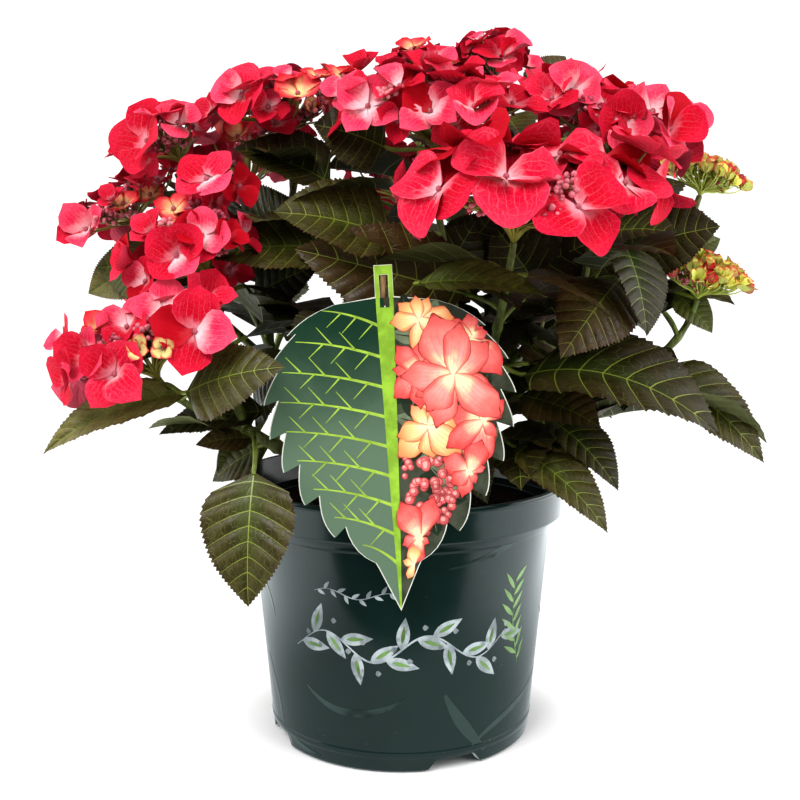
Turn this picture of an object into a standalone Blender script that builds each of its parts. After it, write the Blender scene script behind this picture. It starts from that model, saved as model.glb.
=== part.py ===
# A lacecap hydrangea in a five litre nursery pot: pot, potting mix, stems, blooms, leaf masses and a
# plain leaf-shaped card on a cane. Metres, +Z up, origin under the middle of the pot at floor level,
# front of the plant towards -Y. Plant sizes below are written in millimetres and scaled once.

import math

import bmesh
import bpy
from mathutils import Matrix, Vector, noise

MM = 0.001
GAP = 0.3  # clearance between pieces that touch
LEAF_GAP = 0.5  # clearance round a leaf mass, whose edges are sharp

POT = {
    "rim_radius": 115.0,
    "rim_top": 176.9,
    "band_radius": 112.3,
    "band_bottom": 154.6,
    "neck_radius": 103.1,
    "neck_height": 152.4,
    "foot_radius": 89.8,
    "wall": 2.0,
    "ledge_rise": 2.0,
    "floor_under": 8.0,
    "floor_thick": 2.2,
    "foot_ring": 5.8,
    "pad_radius": 20.0,
    "sides": 32,
}
FOOT_NOTCH = {"count": 4, "first_angle": 23.1, "width": 39.0, "top_width": 27.0, "height": 7.5}
SOIL_TOP = 152.0

CARD = {
    "tip": (0.0, -119.9, 117.0),
    "top": (-11.0, -105.9, 323.0),
    "thickness": 1.0,
    "half_width": 75.0,
    "blade_share": 0.91,
    "point_share": 0.86,
    "fullness": 0.72,
    "squareness": 0.55,
    "teeth": 8,
    "tooth_depth": 0.085,
    "tooth_back": 0.45,
    "notch_rise": 0.012,
    "drip_half_width": 12.0,
    "stalk_half_width": 5.5,
    "slot_half_width": 2.6,
    "slot_from_top": (6.0, 24.0),
}
CARD_CANE = {"foot": (-14.0, -84.0), "radius": 2.1, "sides_level": 2, "upright": 4.0,
             "below_top": 0.03}

# Each cane: where it leaves the soil, its fork, and the way it points there.
CANE_RADII = (4.4, 3.6)
CANE_FOOT = 5.0
LIMB_REACH = 0.36  # how far a limb keeps its first and last direction, as a share of its span
FORK_INSET = 0.7  # a shoot's start beyond its cane's middle line, before it is cut back
FORK_ALONG = 0.4  # how much a shoot keeps its cane's direction at first
FORK_STEP = 0.17  # how far below its neighbour each further shoot leaves a cane
CANES = {
    "cane_front": ((18, -36), (48, -66, 232), (0.35, -0.35, 1.0)),
    "cane_left": ((-38, -28), (-98, -70, 220), (-1.0, -0.35, 0.9)),
    "cane_back_left": ((-34, 20), (-92, 22, 258), (-0.6, 0.05, 1.0)),
    "cane_right": ((42, -10), (96, -42, 222), (1.0, -0.15, 0.8)),
    "cane_back_right": ((32, 30), (84, 58, 258), (0.5, 0.35, 1.0)),
    "cane_back": ((-4, 44), (-14, 98, 258), (-0.1, 0.5, 1.0)),
}

# Each bloom: its cane, the middle of its underside, its half width, half depth and depth of dome,
# and the way it faces.
SHOOT_RADII = (3.2, 2.1)
BLOOMS = {
    "front": ("cane_front", (66, -104, 336), (88, 64, 58), (0.10, -0.42, 1.0)),
    "centre": ("cane_front", (22, -34, 392), (76, 58, 54), (0.0, -0.22, 1.0)),
    "crest": ("cane_back_right", (68, 78, 450), (35, 38, 38), (0.0, 0.05, 1.0)),
    "crest_left": ("cane_back", (14, 62, 442), (31, 32, 30), (-0.1, 0.05, 1.0)),
    "upper_right": ("cane_right", (134, -22, 382), (60, 54, 54), (0.25, -0.2, 1.0)),
    "upper_left": ("cane_back_left", (-74, 6, 406), (58, 48, 44), (-0.15, -0.12, 1.0)),
    "high_left": ("cane_back_left", (-150, 16, 389), (47, 42, 42), (-0.4, -0.12, 1.0)),
    "far_left": ("cane_back_left", (-184, 30, 346), (54, 42, 36), (-0.6, 0.0, 1.0)),
    "front_left": ("cane_left", (-122, -52, 312), (46, 42, 44), (-0.35, -0.5, 1.0)),
    "low_left": ("cane_left", (-150, -80, 252), (62, 44, 48), (-0.45, -0.7, 1.0)),
    "young_right": ("cane_right", (196, -20, 298), (31, 28, 24), (0.2, -0.1, 1.0)),
    "young_far_right": ("cane_back_right", (212, 46, 368), (30, 28, 22), (0.3, 0.1, 1.0)),
    "back_left": ("cane_back_left", (-116, 116, 372), (61, 57, 48), (-0.3, 0.45, 1.0)),
    "back": ("cane_back", (8, 168, 360), (68, 58, 50), (0.0, 0.5, 1.0)),
    "back_right": ("cane_back_right", (136, 118, 376), (62, 57, 48), (0.4, 0.4, 1.0)),
    "back_low": ("cane_back", (84, 200, 286), (50, 46, 38), (0.35, 0.75, 1.0)),
}
BLOOM_SIDES = 10
BLOOM_LOBES = 5
BLOOM_SCALLOP = 0.07
BLOOM_BUMP = 0.10
BLOOM_BUMP_SIZE = 26.0
BLOOM_SEAT = 7.0
# Dome outline as shares of half width and of depth, from the seat up over the crown.
BLOOM_OUTLINE = ((0.90, 0.46), (1.0, 0.64), (0.64, 0.94))

UP = (0.0, 0.0, 1.0)
FRONT = (0.0, -1.0, 0.25)
# Each leaf mass: middle, half sizes, then its outer leaves as tip, width and the way the blade faces.
LEAF_MASSES = {
    "leaves_over_rim_left": ((-82, -88, 200), (20, 13, 16), [
        ((-87, -134, 124), 76, FRONT), ((-112, -30, 166), 44, (-0.4, -1.0, 0.4))]),
    "leaves_low_left": ((-106, -72, 240), (30, 22, 22), [
        ((-214, -100, 211), 60, (-0.1, -0.5, 1.0)), ((-64, -124, 262), 60, FRONT),
        ((-158, -58, 214), 48, (0.0, -0.9, 0.8))]),
    "leaves_right_front": ((104, -66, 256), (34, 22, 20), [
        ((184, -130, 226), 84, (0.2, -0.5, 1.0)), ((62, -94, 276), 50, FRONT),
        ((140, -30, 286), 54, UP)]),
    "leaves_right_outer": ((182, 0, 256), (24, 22, 22), [
        ((243, -30, 190), 74, (0.5, -0.6, 1.0)), ((208, -34, 278), 36, UP),
        ((212, 70, 226), 60, UP)]),
    "leaves_over_rim_right": ((80, -62, 212), (22, 17, 15), [
        ((124, -112, 163), 52, (0.3, -0.6, 1.0)), ((134, -90, 186), 46, (0.4, -0.5, 1.0)),
        ((48, -107, 178), 36, FRONT), ((124, -88, 222), 52, (0.2, -0.8, 0.8))]),
    "leaves_behind_card": ((-4, -78, 314), (38, 15, 20), [
        ((-72, -96, 326), 64, FRONT), ((80, -116, 304), 40, (0.1, -0.8, 1.0))]),
    "leaves_upper_left": ((-58, -46, 346), (40, 28, 28), [
        ((-110, -20, 396), 60, UP), ((-78, -84, 354), 72, (-0.2, -0.7, 1.0)),
        ((-124, -60, 326), 62, (-0.2, -0.5, 1.0))]),
    "leaves_middle_left": ((-80, -46, 290), (36, 28, 28), [
        ((-118, -80, 306), 60, FRONT), ((-52, -84, 262), 54, FRONT)]),
    "leaves_under_front": ((96, -60, 318), (40, 30, 26), [
        ((94, -110, 268), 66, FRONT), ((150, -94, 282), 52, (0.5, -1.0, 0.4)),
        ((168, -70, 342), 60, UP)]),
    "leaves_right_edge": ((172, 6, 334), (32, 32, 28), [
        ((234, 40, 334), 50, (0.0, -0.5, 1.0)), ((204, -34, 346), 62, (0.3, -0.7, 1.0)),
        ((206, 76, 300), 60, UP)]),
    "leaves_left_edge": ((-158, 28, 312), (28, 28, 26), [
        ((-212, 22, 322), 62, FRONT), ((-196, 92, 268), 62, UP), ((-190, -20, 262), 54, UP)]),
    "leaves_upper_middle": ((24, -4, 376), (56, 34, 24), [
        ((74, -54, 392), 52, UP), ((-54, -36, 408), 60, (0.1, -0.9, 0.6)),
        ((-30, -60, 372), 56, (-0.2, -0.8, 1.0))]),
    "leaves_top_back": ((92, 84, 418), (26, 26, 22), [
        ((124, 112, 474), 42, (0.2, 1.0, 0.3)), ((168, 92, 416), 52, UP)]),
    "leaves_inner": ((8, 6, 284), (72, 60, 62), []),
    "leaves_back_left": ((-96, 104, 306), (46, 40, 40), [
        ((-186, 150, 252), 66, UP), ((-120, 208, 262), 66, UP), ((-104, 150, 204), 60, UP),
        ((-176, 98, 338), 58, UP)]),
    "leaves_back": ((8, 140, 286), (46, 36, 42), [
        ((-36, 236, 256), 68, UP), ((30, 206, 198), 66, UP), ((-52, 188, 330), 58, UP)]),
    "leaves_back_right": ((112, 112, 300), (42, 38, 42), [
        ((202, 158, 262), 68, UP), ((120, 196, 236), 62, UP), ((176, 76, 214), 60, UP)]),
}
LEAF_THICKNESS = 3.0
LEAF_STATIONS = ((0.0, 0.10), (0.34, 0.50), (0.70, 0.36))  # along the blade, half width share
LEAF_ARCH = 0.32  # rise of the blade's middle over its length, times share * (1 - share)
LEAF_FOLD = 0.10
LEAF_ROOT = 0.5  # how deep in the core a blade starts, as a share of its smallest half size
LUMP = 0.32
LUMP_PITCH = 1.7

COLOURS = {
    "pot": ((0.012, 0.052, 0.040), 0.16),
    "soil": ((0.020, 0.013, 0.009), 0.95),
    "card": ((0.10, 0.30, 0.16), 0.3),
    "cane_stick": ((0.55, 0.38, 0.18), 0.6),
    "stem": ((0.16, 0.24, 0.05), 0.5),
    "bloom": ((0.78, 0.03, 0.09), 0.5),
    "young_bloom": ((0.62, 0.62, 0.16), 0.5),
    "leaf": ((0.030, 0.055, 0.022), 0.45),
}


def clear_scene():
    for obj in list(bpy.data.objects):
        bpy.data.objects.remove(obj, do_unlink=True)


def new_collection(name):
    collection = bpy.data.collections.new(name)
    bpy.context.scene.collection.children.link(collection)
    return collection


def make_material(name, look):
    colour, roughness = COLOURS[look]
    material = bpy.data.materials.new(name)
    material.use_nodes = True
    shader = material.node_tree.nodes["Principled BSDF"]
    shader.inputs["Base Color"].default_value = (*colour, 1.0)
    shader.inputs["Roughness"].default_value = roughness
    shader.inputs["Metallic"].default_value = 0.0
    return material


def add_mesh(name, bm, look, collection):
    """Put a finished bmesh, still in millimetres, into the file as one named object in metres."""
    bmesh.ops.scale(bm, vec=(MM, MM, MM), verts=bm.verts)
    bmesh.ops.triangulate(bm, faces=bm.faces)
    bmesh.ops.recalc_face_normals(bm, faces=bm.faces)
    mesh = bpy.data.meshes.new(name)
    bm.to_mesh(mesh)
    bm.free()
    obj = bpy.data.objects.new(name, mesh)
    collection.objects.link(obj)
    if look:
        mesh.materials.append(make_material(name, look))
    return obj


def mesh_of(obj):
    """The object's evaluated shape as a new mesh in world space, with its caps welded."""
    bpy.context.view_layer.update()
    graph = bpy.context.evaluated_depsgraph_get()
    mesh = bpy.data.meshes.new_from_object(obj.evaluated_get(graph))
    mesh.transform(obj.matrix_world)
    bm = bmesh.new()
    bm.from_mesh(mesh)
    bmesh.ops.remove_doubles(bm, verts=bm.verts, dist=1e-6)
    keep_largest(bm)
    bm.to_mesh(mesh)
    bm.free()
    return mesh


def keep_largest(bm):
    """Delete the crumbs that a cut leaves, keeping the biggest connected piece."""
    left = set(bm.verts)
    islands = []
    while left:
        island = set()
        queue = [left.pop()]
        while queue:
            vert = queue.pop()
            island.add(vert)
            for edge in vert.link_edges:
                other = edge.other_vert(vert)
                if other in left:
                    left.remove(other)
                    queue.append(other)
        islands.append(island)
    islands.sort(key=lambda island: island_volume(bm, island))
    for island in islands[:-1]:
        bmesh.ops.delete(bm, geom=list(island), context="VERTS")


def island_volume(bm, island):
    """Six times the volume inside the faces of one connected piece."""
    total = 0.0
    for face in bm.faces:
        if face.verts[0] in island:
            corners = [vert.co for vert in face.verts]
            for index in range(1, len(corners) - 1):
                total += corners[0].dot(corners[index].cross(corners[index + 1]))
    return abs(total)


def bounds(obj):
    corners = [obj.matrix_world @ v.co for v in obj.data.vertices]
    low = [min(c[i] for c in corners) for i in range(3)]
    high = [max(c[i] for c in corners) for i in range(3)]
    return low, high


def boxes_meet(a, b, room):
    low_a, high_a = bounds(a)
    low_b, high_b = bounds(b)
    return all(low_a[i] - room < high_b[i] and low_b[i] - room < high_a[i] for i in range(3))


def swollen_copy(obj, amount):
    """A cutter: the object grown outwards by the clearance that its neighbours keep."""
    bm = bmesh.new()
    bm.from_mesh(obj.data)
    bm.normal_update()
    moves = [v.normal * (amount * MM * min(v.calc_shell_factor(), 2.5)) for v in bm.verts]
    for vert, move in zip(bm.verts, moves):
        vert.co += move
    mesh = bpy.data.meshes.new("clear_" + obj.name)
    bm.to_mesh(mesh)
    bm.free()
    cutter = bpy.data.objects.new("clear_" + obj.name, mesh)
    cutter.hide_render = True
    cutter.display_type = "WIRE"
    cutters.objects.link(cutter)
    return cutter


def add_boolean(obj, other, operation, solver="EXACT"):
    modifier = obj.modifiers.new(other.name, "BOOLEAN")
    modifier.object = other
    modifier.operation = operation
    modifier.solver = solver


def finish_shape(obj):
    """Apply the object's modifiers, so that later neighbours can be cut round the result."""
    mesh = mesh_of(obj)
    obj.modifiers.clear()
    obj.matrix_world = Matrix()
    obj.data = mesh


def cut_round(obj, gap, solver="EXACT"):
    """Cut the object back from every finished piece that it reaches, and finish it."""
    own_cutter = swollen_copy(obj, gap)
    for piece, cutter in list(finished.items()):
        if boxes_meet(obj, piece, 1.0 * MM):
            add_boolean(obj, cutter, "DIFFERENCE", solver)
    finish_shape(obj)
    finished[obj] = own_cutter


def spin_profile(outline, sides):
    """A closed turned body from an outline of (radius, height) that starts and ends on the axis."""
    bm = bmesh.new()
    verts = [bm.verts.new((radius, 0.0, height)) for radius, height in outline]
    edges = [bm.edges.new(pair) for pair in zip(verts[:-1], verts[1:])]
    bmesh.ops.spin(bm, geom=verts + edges, cent=(0, 0, 0), axis=(0, 0, 1), angle=2 * math.pi,
                   steps=sides, use_merge=True)
    bmesh.ops.remove_doubles(bm, verts=bm.verts, dist=0.001)
    return bm


def inner_radius(height):
    """Inside radius of the pot's tapering wall below its neck."""
    share = height / POT["neck_height"]
    return POT["foot_radius"] + (POT["neck_radius"] - POT["foot_radius"]) * share - POT["wall"]


def pot():
    floor_top = POT["floor_under"] + POT["floor_thick"]
    ledge = POT["neck_height"] + POT["ledge_rise"]
    outline = [
        (0.0, floor_top),
        (inner_radius(floor_top), floor_top),
        (POT["neck_radius"] - POT["wall"], ledge - POT["ledge_rise"]),
        (POT["band_radius"] - POT["wall"], ledge + POT["ledge_rise"]),
        (POT["rim_radius"] - POT["wall"], POT["rim_top"]),
        (POT["rim_radius"], POT["rim_top"]),
        (POT["band_radius"], POT["band_bottom"]),
        (POT["neck_radius"], POT["neck_height"]),
        (POT["foot_radius"], 0.0),
        (POT["foot_radius"] - POT["foot_ring"], 0.0),
        (POT["foot_radius"] - POT["foot_ring"], POT["floor_under"]),
        (POT["pad_radius"] + 2.0, POT["floor_under"]),
        (POT["pad_radius"], 0.0),
        (0.0, 0.0),
    ]
    obj = add_mesh("pot", spin_profile(outline, POT["sides"]), "pot", parts)
    for index in range(FOOT_NOTCH["count"]):
        add_boolean(obj, notch_cutter(index), "DIFFERENCE")
    finish_shape(obj)
    finished[obj] = swollen_copy(obj, GAP)


def notch_cutter(index):
    """A wedge through the foot ring, wider at the floor than at its top."""
    bm = bmesh.new()
    bmesh.ops.create_cube(bm, size=1.0)
    for vert in bm.verts:
        top = vert.co.z > 0
        vert.co.x *= FOOT_NOTCH["top_width"] if top else FOOT_NOTCH["width"] + 2.0
        vert.co.y = -POT["foot_radius"] + vert.co.y * 4 * POT["foot_ring"]
        vert.co.z = FOOT_NOTCH["height"] if top else -1.0
    angle = math.radians(FOOT_NOTCH["first_angle"] + index * 360 / FOOT_NOTCH["count"])
    bmesh.ops.rotate(bm, cent=(0, 0, 0), matrix=Matrix.Rotation(angle, 3, "Z"), verts=bm.verts)
    cutter = add_mesh("foot_notch_%d" % (index + 1), bm, None, cutters)
    cutter.hide_render = True
    cutter.display_type = "WIRE"
    return cutter


def potting_mix():
    """The mix that fills the pot, level on top and clear of wall and floor."""
    floor = POT["floor_under"] + POT["floor_thick"] + GAP
    outline = [(0.0, SOIL_TOP), (inner_radius(SOIL_TOP) - GAP, SOIL_TOP),
               (inner_radius(floor) - GAP, floor), (0.0, floor)]
    obj = add_mesh("potting_mix", spin_profile(outline, POT["sides"]), "soil", parts)
    finished[obj] = swollen_copy(obj, GAP)


def card_half_width(share):
    """Half width of the leaf-shaped card, share running from its shoulder (0) to its tip (1)."""
    body = min(share / CARD["point_share"], 1.0)
    full = CARD["half_width"] * math.sin(math.pi * body ** CARD["fullness"]) ** CARD["squareness"]
    drip = CARD["drip_half_width"] * min(1.0, (1 - share) / (1 - CARD["point_share"]))
    return max(full, drip) if share < 1 else 0.0


def card_side(blade):
    """One edge of the card from shoulder to tip: teeth that point towards the tip."""
    points = [(CARD["stalk_half_width"], blade)]
    for tooth in range(CARD["teeth"]):
        start = CARD["point_share"] * tooth / CARD["teeth"]
        end = CARD["point_share"] * (tooth + 1) / CARD["teeth"]
        middle = start + CARD["tooth_back"] * (end - start)
        width = card_half_width(end)
        points.append((card_half_width(middle), blade * (1 - middle)))
        points.append((width, blade * (1 - end)))
        if tooth > 0 and end < CARD["point_share"]:
            notch = blade * (1 - end + CARD["notch_rise"])
            points.append((width * (1 - CARD["tooth_depth"]), notch))
    return points


def label_card():
    """A flat leaf-shaped card with a stalk and a slot, leaning back from the rim."""
    tip, top = Vector(CARD["tip"]), Vector(CARD["top"])
    length = (top - tip).length
    side = card_side(length * CARD["blade_share"])
    stalk = CARD["stalk_half_width"]
    right = [(stalk, length)] + side
    outline = right + [(0.0, 0.0)] + [(-x, y) for x, y in reversed(right)]
    slot_top, slot_bottom = (length - d for d in CARD["slot_from_top"])
    half = CARD["slot_half_width"]
    slot = [(-half, slot_bottom), (half, slot_bottom), (half, slot_top), (-half, slot_top)]
    curve = bpy.data.curves.new("label_card", "CURVE")
    curve.dimensions = "2D"
    curve.fill_mode = "BOTH"
    curve.extrude = CARD["thickness"] / 2 * MM
    for loop in (outline, slot):
        spline = curve.splines.new("POLY")
        spline.points.add(len(loop) - 1)
        for point, (x, y) in zip(spline.points, loop):
            point.co = (x * MM, y * MM, 0.0, 1.0)
        spline.use_cyclic_u = True
    obj = bpy.data.objects.new("label_card", curve)
    up = (top - tip).normalized()
    normal = Vector((1, 0, 0)).cross(up).normalized()
    across = up.cross(normal)
    turn = Matrix((across, up, normal)).transposed().to_4x4()
    obj.matrix_world = Matrix.Translation(tip * MM) @ turn
    parts.objects.link(obj)
    return curve_to_piece(obj, "card")


def curve_to_piece(obj, look):
    """Replace a curve object by a mesh object of the same name, closed and in world space."""
    name = obj.name
    mesh = mesh_of(obj)
    bpy.data.objects.remove(obj, do_unlink=True)
    mesh.name = name
    bm = bmesh.new()
    bm.from_mesh(mesh)
    bmesh.ops.triangulate(bm, faces=bm.faces)
    bmesh.ops.recalc_face_normals(bm, faces=bm.faces)
    bm.to_mesh(mesh)
    bm.free()
    piece = bpy.data.objects.new(name, mesh)
    parts.objects.link(piece)
    mesh.materials.clear()
    mesh.materials.append(make_material(name, look))
    return piece


def tube(name, points, radii, look, level=1):
    """A tapering round limb along the points, which are in millimetres."""
    curve = bpy.data.curves.new(name, "CURVE")
    curve.dimensions = "3D"
    curve.bevel_depth = MM
    curve.bevel_resolution = level
    curve.use_fill_caps = True
    spline = curve.splines.new("POLY")
    spline.points.add(len(points) - 1)
    last = len(points) - 1
    for index, place in enumerate(points):
        spline.points[index].co = (*(Vector(place) * MM), 1.0)
        spline.points[index].radius = radii[0] + (radii[1] - radii[0]) * index / last
    obj = bpy.data.objects.new(name, curve)
    parts.objects.link(obj)
    return curve_to_piece(obj, look)


def limb_point(start, start_way, end, end_way, t):
    """The point at share t of a smooth limb that leaves and arrives in the given directions."""
    start, end = Vector(start), Vector(end)
    reach = (end - start).length * LIMB_REACH
    lead = start + Vector(start_way).normalized() * reach
    trail = end - Vector(end_way).normalized() * reach
    s = 1 - t
    return start * s ** 3 + lead * 3 * s * s * t + trail * 3 * s * t * t + end * t ** 3


def limb_route(ends, count):
    return [limb_point(*ends, index / (count - 1)) for index in range(count)]


def card_cane():
    """The split bamboo that carries the card: upright out of the mix, then leaning to the slot."""
    tip, top = Vector(CARD["tip"]), Vector(CARD["top"])
    behind = CARD["thickness"] / 2 + GAP + CARD_CANE["radius"]
    head = top + (tip - top) * CARD_CANE["below_top"] + Vector((0, behind, 0))
    foot = Vector((*CARD_CANE["foot"], SOIL_TOP + GAP))
    points = [foot, foot + Vector((0, 0, CARD_CANE["upright"])), head]
    radii = (CARD_CANE["radius"], CARD_CANE["radius"])
    return tube("card_cane", points, radii, "cane_stick", CARD_CANE["sides_level"])


def cane_ends(name):
    """A cane's route above its upright foot: where it starts, where it ends, and both ways."""
    foot, fork, way = CANES[name]
    return Vector((*foot, SOIL_TOP + GAP + CANE_FOOT)), UP, fork, way


def cane(name):
    foot = Vector((*CANES[name][0], SOIL_TOP + GAP))
    return tube(name, [foot] + limb_route(cane_ends(name), 5), CANE_RADII, "stem")


def shoot_ends(bloom):
    """A shoot's route: it leaves its cane at a fork of its own and ends at its bloom's seat."""
    cane_name, seat, _, facing = BLOOMS[bloom]
    mates = [name for name in BLOOMS if BLOOMS[name][0] == cane_name]
    fork = limb_point(*cane_ends(cane_name), 1 - FORK_STEP * mates.index(bloom))
    outward = (Vector(seat) - fork).normalized()
    start = fork + outward * FORK_INSET
    leave = Vector(CANES[cane_name][2]).normalized() * FORK_ALONG + outward
    return start, leave, seat, facing


def shoot(bloom):
    return tube("shoot_" + bloom, limb_route(shoot_ends(bloom), 6), SHOOT_RADII, "stem")


def bloom_head(bloom):
    """A domed flower head with a scalloped edge, seated on its shoot."""
    _, seat, (half_width, half_depth, height), facing = BLOOMS[bloom]
    outline = [(0.0, 0.0), (BLOOM_SEAT, 0.0)]
    outline += [(radius * half_width, level * height) for radius, level in BLOOM_OUTLINE]
    outline.append((0.0, height))
    bm = spin_profile(outline, BLOOM_SIDES)
    variety = Vector((list(BLOOMS).index(bloom), 0, 0))
    for vert in bm.verts:
        radius = math.hypot(vert.co.x, vert.co.y)
        if radius > BLOOM_SEAT + 1:
            angle = math.atan2(vert.co.y, vert.co.x)
            lobe = BLOOM_SCALLOP * math.cos(BLOOM_LOBES * angle) * radius / half_width
            bump = BLOOM_BUMP * noise.noise(vert.co / BLOOM_BUMP_SIZE + variety)
            vert.co.x *= 1 + lobe + bump
            vert.co.y *= (1 + lobe + bump) * half_depth / half_width
            vert.co.z *= 1 + bump
    axis = Vector(facing).normalized()
    bm.transform(Vector((0, 0, 1)).rotation_difference(axis).to_matrix().to_4x4())
    bmesh.ops.translate(bm, vec=Vector(seat) + axis * GAP, verts=bm.verts)
    look = "young_bloom" if "young" in bloom else "bloom"
    return add_mesh("bloom_" + bloom, bm, look, parts)


def leaf_blade(base, tip, width, facing):
    """One broad leaf as a thin closed wedge with a raised rim and a drip tip."""
    base, tip = Vector(base), Vector(tip)
    along = tip - base
    side = along.cross(Vector(facing)).normalized()
    normal = side.cross(along).normalized()
    bm = bmesh.new()
    rings = []
    for share, spread in LEAF_STATIONS:
        arch = along.length * LEAF_ARCH * share * (1 - share)
        middle = base + along * share + normal * arch
        edge = side * (spread * width)
        lift = normal * (LEAF_FOLD * spread * width)
        thick = normal * (LEAF_THICKNESS / 2)
        corners = (middle - edge + lift, middle + thick, middle + edge + lift, middle - thick)
        rings.append([bm.verts.new(corner) for corner in corners])
    for lower, upper in zip(rings[:-1], rings[1:]):
        for index in range(4):
            after = (index + 1) % 4
            bm.faces.new((lower[index], lower[after], upper[after], upper[index]))
    point = bm.verts.new(tip)
    for index in range(4):
        bm.faces.new((rings[-1][index], rings[-1][(index + 1) % 4], point))
    bm.faces.new(rings[0])
    return bm


def leaf_mass(name):
    """An uneven core with its outer leaves joined on, then cut back from all that it meets."""
    middle, sizes, leaves = LEAF_MASSES[name]
    middle, sizes = Vector(middle), Vector(sizes)
    bm = bmesh.new()
    bmesh.ops.create_icosphere(bm, subdivisions=2, radius=1.0)
    for vert in bm.verts:
        lump = 1 + LUMP * noise.noise(vert.co * LUMP_PITCH + middle * 0.05)
        vert.co = middle + vert.co * sizes * lump
    obj = add_mesh(name, bm, "leaf", parts)
    for index, (tip, width, facing) in enumerate(leaves):
        inside = middle + (Vector(tip) - middle).normalized() * min(sizes) * LEAF_ROOT
        blade = add_mesh("%s_blade_%d" % (name, index + 1), leaf_blade(inside, tip, width, facing),
                         None, cutters)
        blade.hide_render = True
        blade.display_type = "WIRE"
        add_boolean(obj, blade, "UNION")
    finish_shape(obj)
    # The exact solver loses a thin-edged body after many cuts in a row; the manifold one keeps it.
    cut_round(obj, LEAF_GAP, "MANIFOLD")


clear_scene()
parts = new_collection("potted_hydrangea")
cutters = new_collection("cutters")
finished = {}

pot()
potting_mix()
cut_round(label_card(), GAP)
cut_round(card_cane(), GAP)
for cane_name in CANES:
    cut_round(cane(cane_name), GAP)
for bloom_name in BLOOMS:
    cut_round(shoot(bloom_name), GAP, "MANIFOLD")
for bloom_name in BLOOMS:
    cut_round(bloom_head(bloom_name), GAP, "MANIFOLD")
for mass_name in LEAF_MASSES:
    leaf_mass(mass_name)
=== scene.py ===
import math
import random

import bmesh
import bpy
import numpy as np
from mathutils import Matrix, Vector, noise
from mathutils.bvhtree import BVHTree


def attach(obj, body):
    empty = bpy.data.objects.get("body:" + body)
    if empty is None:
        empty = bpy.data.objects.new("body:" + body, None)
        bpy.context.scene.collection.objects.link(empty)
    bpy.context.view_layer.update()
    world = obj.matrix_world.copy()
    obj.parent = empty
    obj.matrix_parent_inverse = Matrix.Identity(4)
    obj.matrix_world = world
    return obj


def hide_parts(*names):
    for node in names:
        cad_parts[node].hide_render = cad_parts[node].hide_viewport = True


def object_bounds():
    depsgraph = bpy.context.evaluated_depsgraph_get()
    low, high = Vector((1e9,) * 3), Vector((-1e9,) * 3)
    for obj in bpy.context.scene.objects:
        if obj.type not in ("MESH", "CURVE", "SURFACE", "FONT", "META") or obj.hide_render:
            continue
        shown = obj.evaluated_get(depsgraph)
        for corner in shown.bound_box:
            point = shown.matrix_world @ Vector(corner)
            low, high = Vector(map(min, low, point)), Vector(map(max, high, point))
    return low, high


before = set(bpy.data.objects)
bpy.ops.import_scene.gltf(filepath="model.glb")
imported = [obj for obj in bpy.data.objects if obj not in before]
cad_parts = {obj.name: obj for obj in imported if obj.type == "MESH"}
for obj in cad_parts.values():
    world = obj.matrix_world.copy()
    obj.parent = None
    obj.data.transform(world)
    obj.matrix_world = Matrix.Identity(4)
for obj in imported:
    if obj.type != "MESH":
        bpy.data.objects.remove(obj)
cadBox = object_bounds()

mm = 0.001  # sizes below are in millimetres
up = Vector((0, 0, 1))
front = (0, -1, 0.25)

# The camera comes first: flower places below are given as spots in its 800 point frame.
view = {"place": (-0.8, -800.0, 339.5), "tilt": 82.065, "lens": 52.82, "film": 36.0, "frame": 800}


def addCamera():
    data = bpy.data.cameras.new("camera")
    data.lens = view["lens"]
    data.sensor_width = view["film"]
    camera = bpy.data.objects.new("camera", data)
    camera.location = Vector(view["place"]) * mm
    camera.rotation_euler = (math.radians(view["tilt"]), 0, 0)
    bpy.context.scene.collection.objects.link(camera)
    bpy.context.scene.camera = camera


def sightLine(spot):
    half = view["frame"] / 2
    step = view["film"] / view["frame"] / view["lens"]
    ray = Vector(((spot[0] - half) * step, (half - spot[1]) * step, -1))
    return (Matrix.Rotation(math.radians(view["tilt"]), 3, "X") @ ray).normalized()


def spotsInView(places):
    # where points, in millimetres, fall in the frame, and how many millimetres a frame point is there
    turn = np.array(Matrix.Rotation(math.radians(view["tilt"]), 3, "X"))
    seen = (np.asarray(places) - view["place"]) @ turn
    scale = -seen[:, 2] * view["film"] / view["frame"] / view["lens"]
    half = view["frame"] / 2
    return half + seen[:, 0] / scale, half - seen[:, 1] / scale, scale


# Helpers for meshes and pieces

def finishPiece(obj, slotName, *nodes):
    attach(obj, "root")
    if nodes:
        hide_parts(*nodes)


def pieceFromMesh(name, mesh, materials, sharpAngle=None):
    for material in materials:
        mesh.materials.append(material)
    mesh.shade_smooth()
    if sharpAngle is not None:
        mesh.set_sharp_from_angle(angle=math.radians(sharpAngle))
    obj = bpy.data.objects.new(name, mesh)
    bpy.context.scene.collection.objects.link(obj)
    return obj


def meshFromShape(name, bm):
    mesh = bpy.data.meshes.new(name)
    bm.to_mesh(mesh)
    bm.free()
    return mesh


def pieceFromShape(name, bm, materials, sharpAngle=None):
    return pieceFromMesh(name, meshFromShape(name, bm), materials, sharpAngle)


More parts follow.
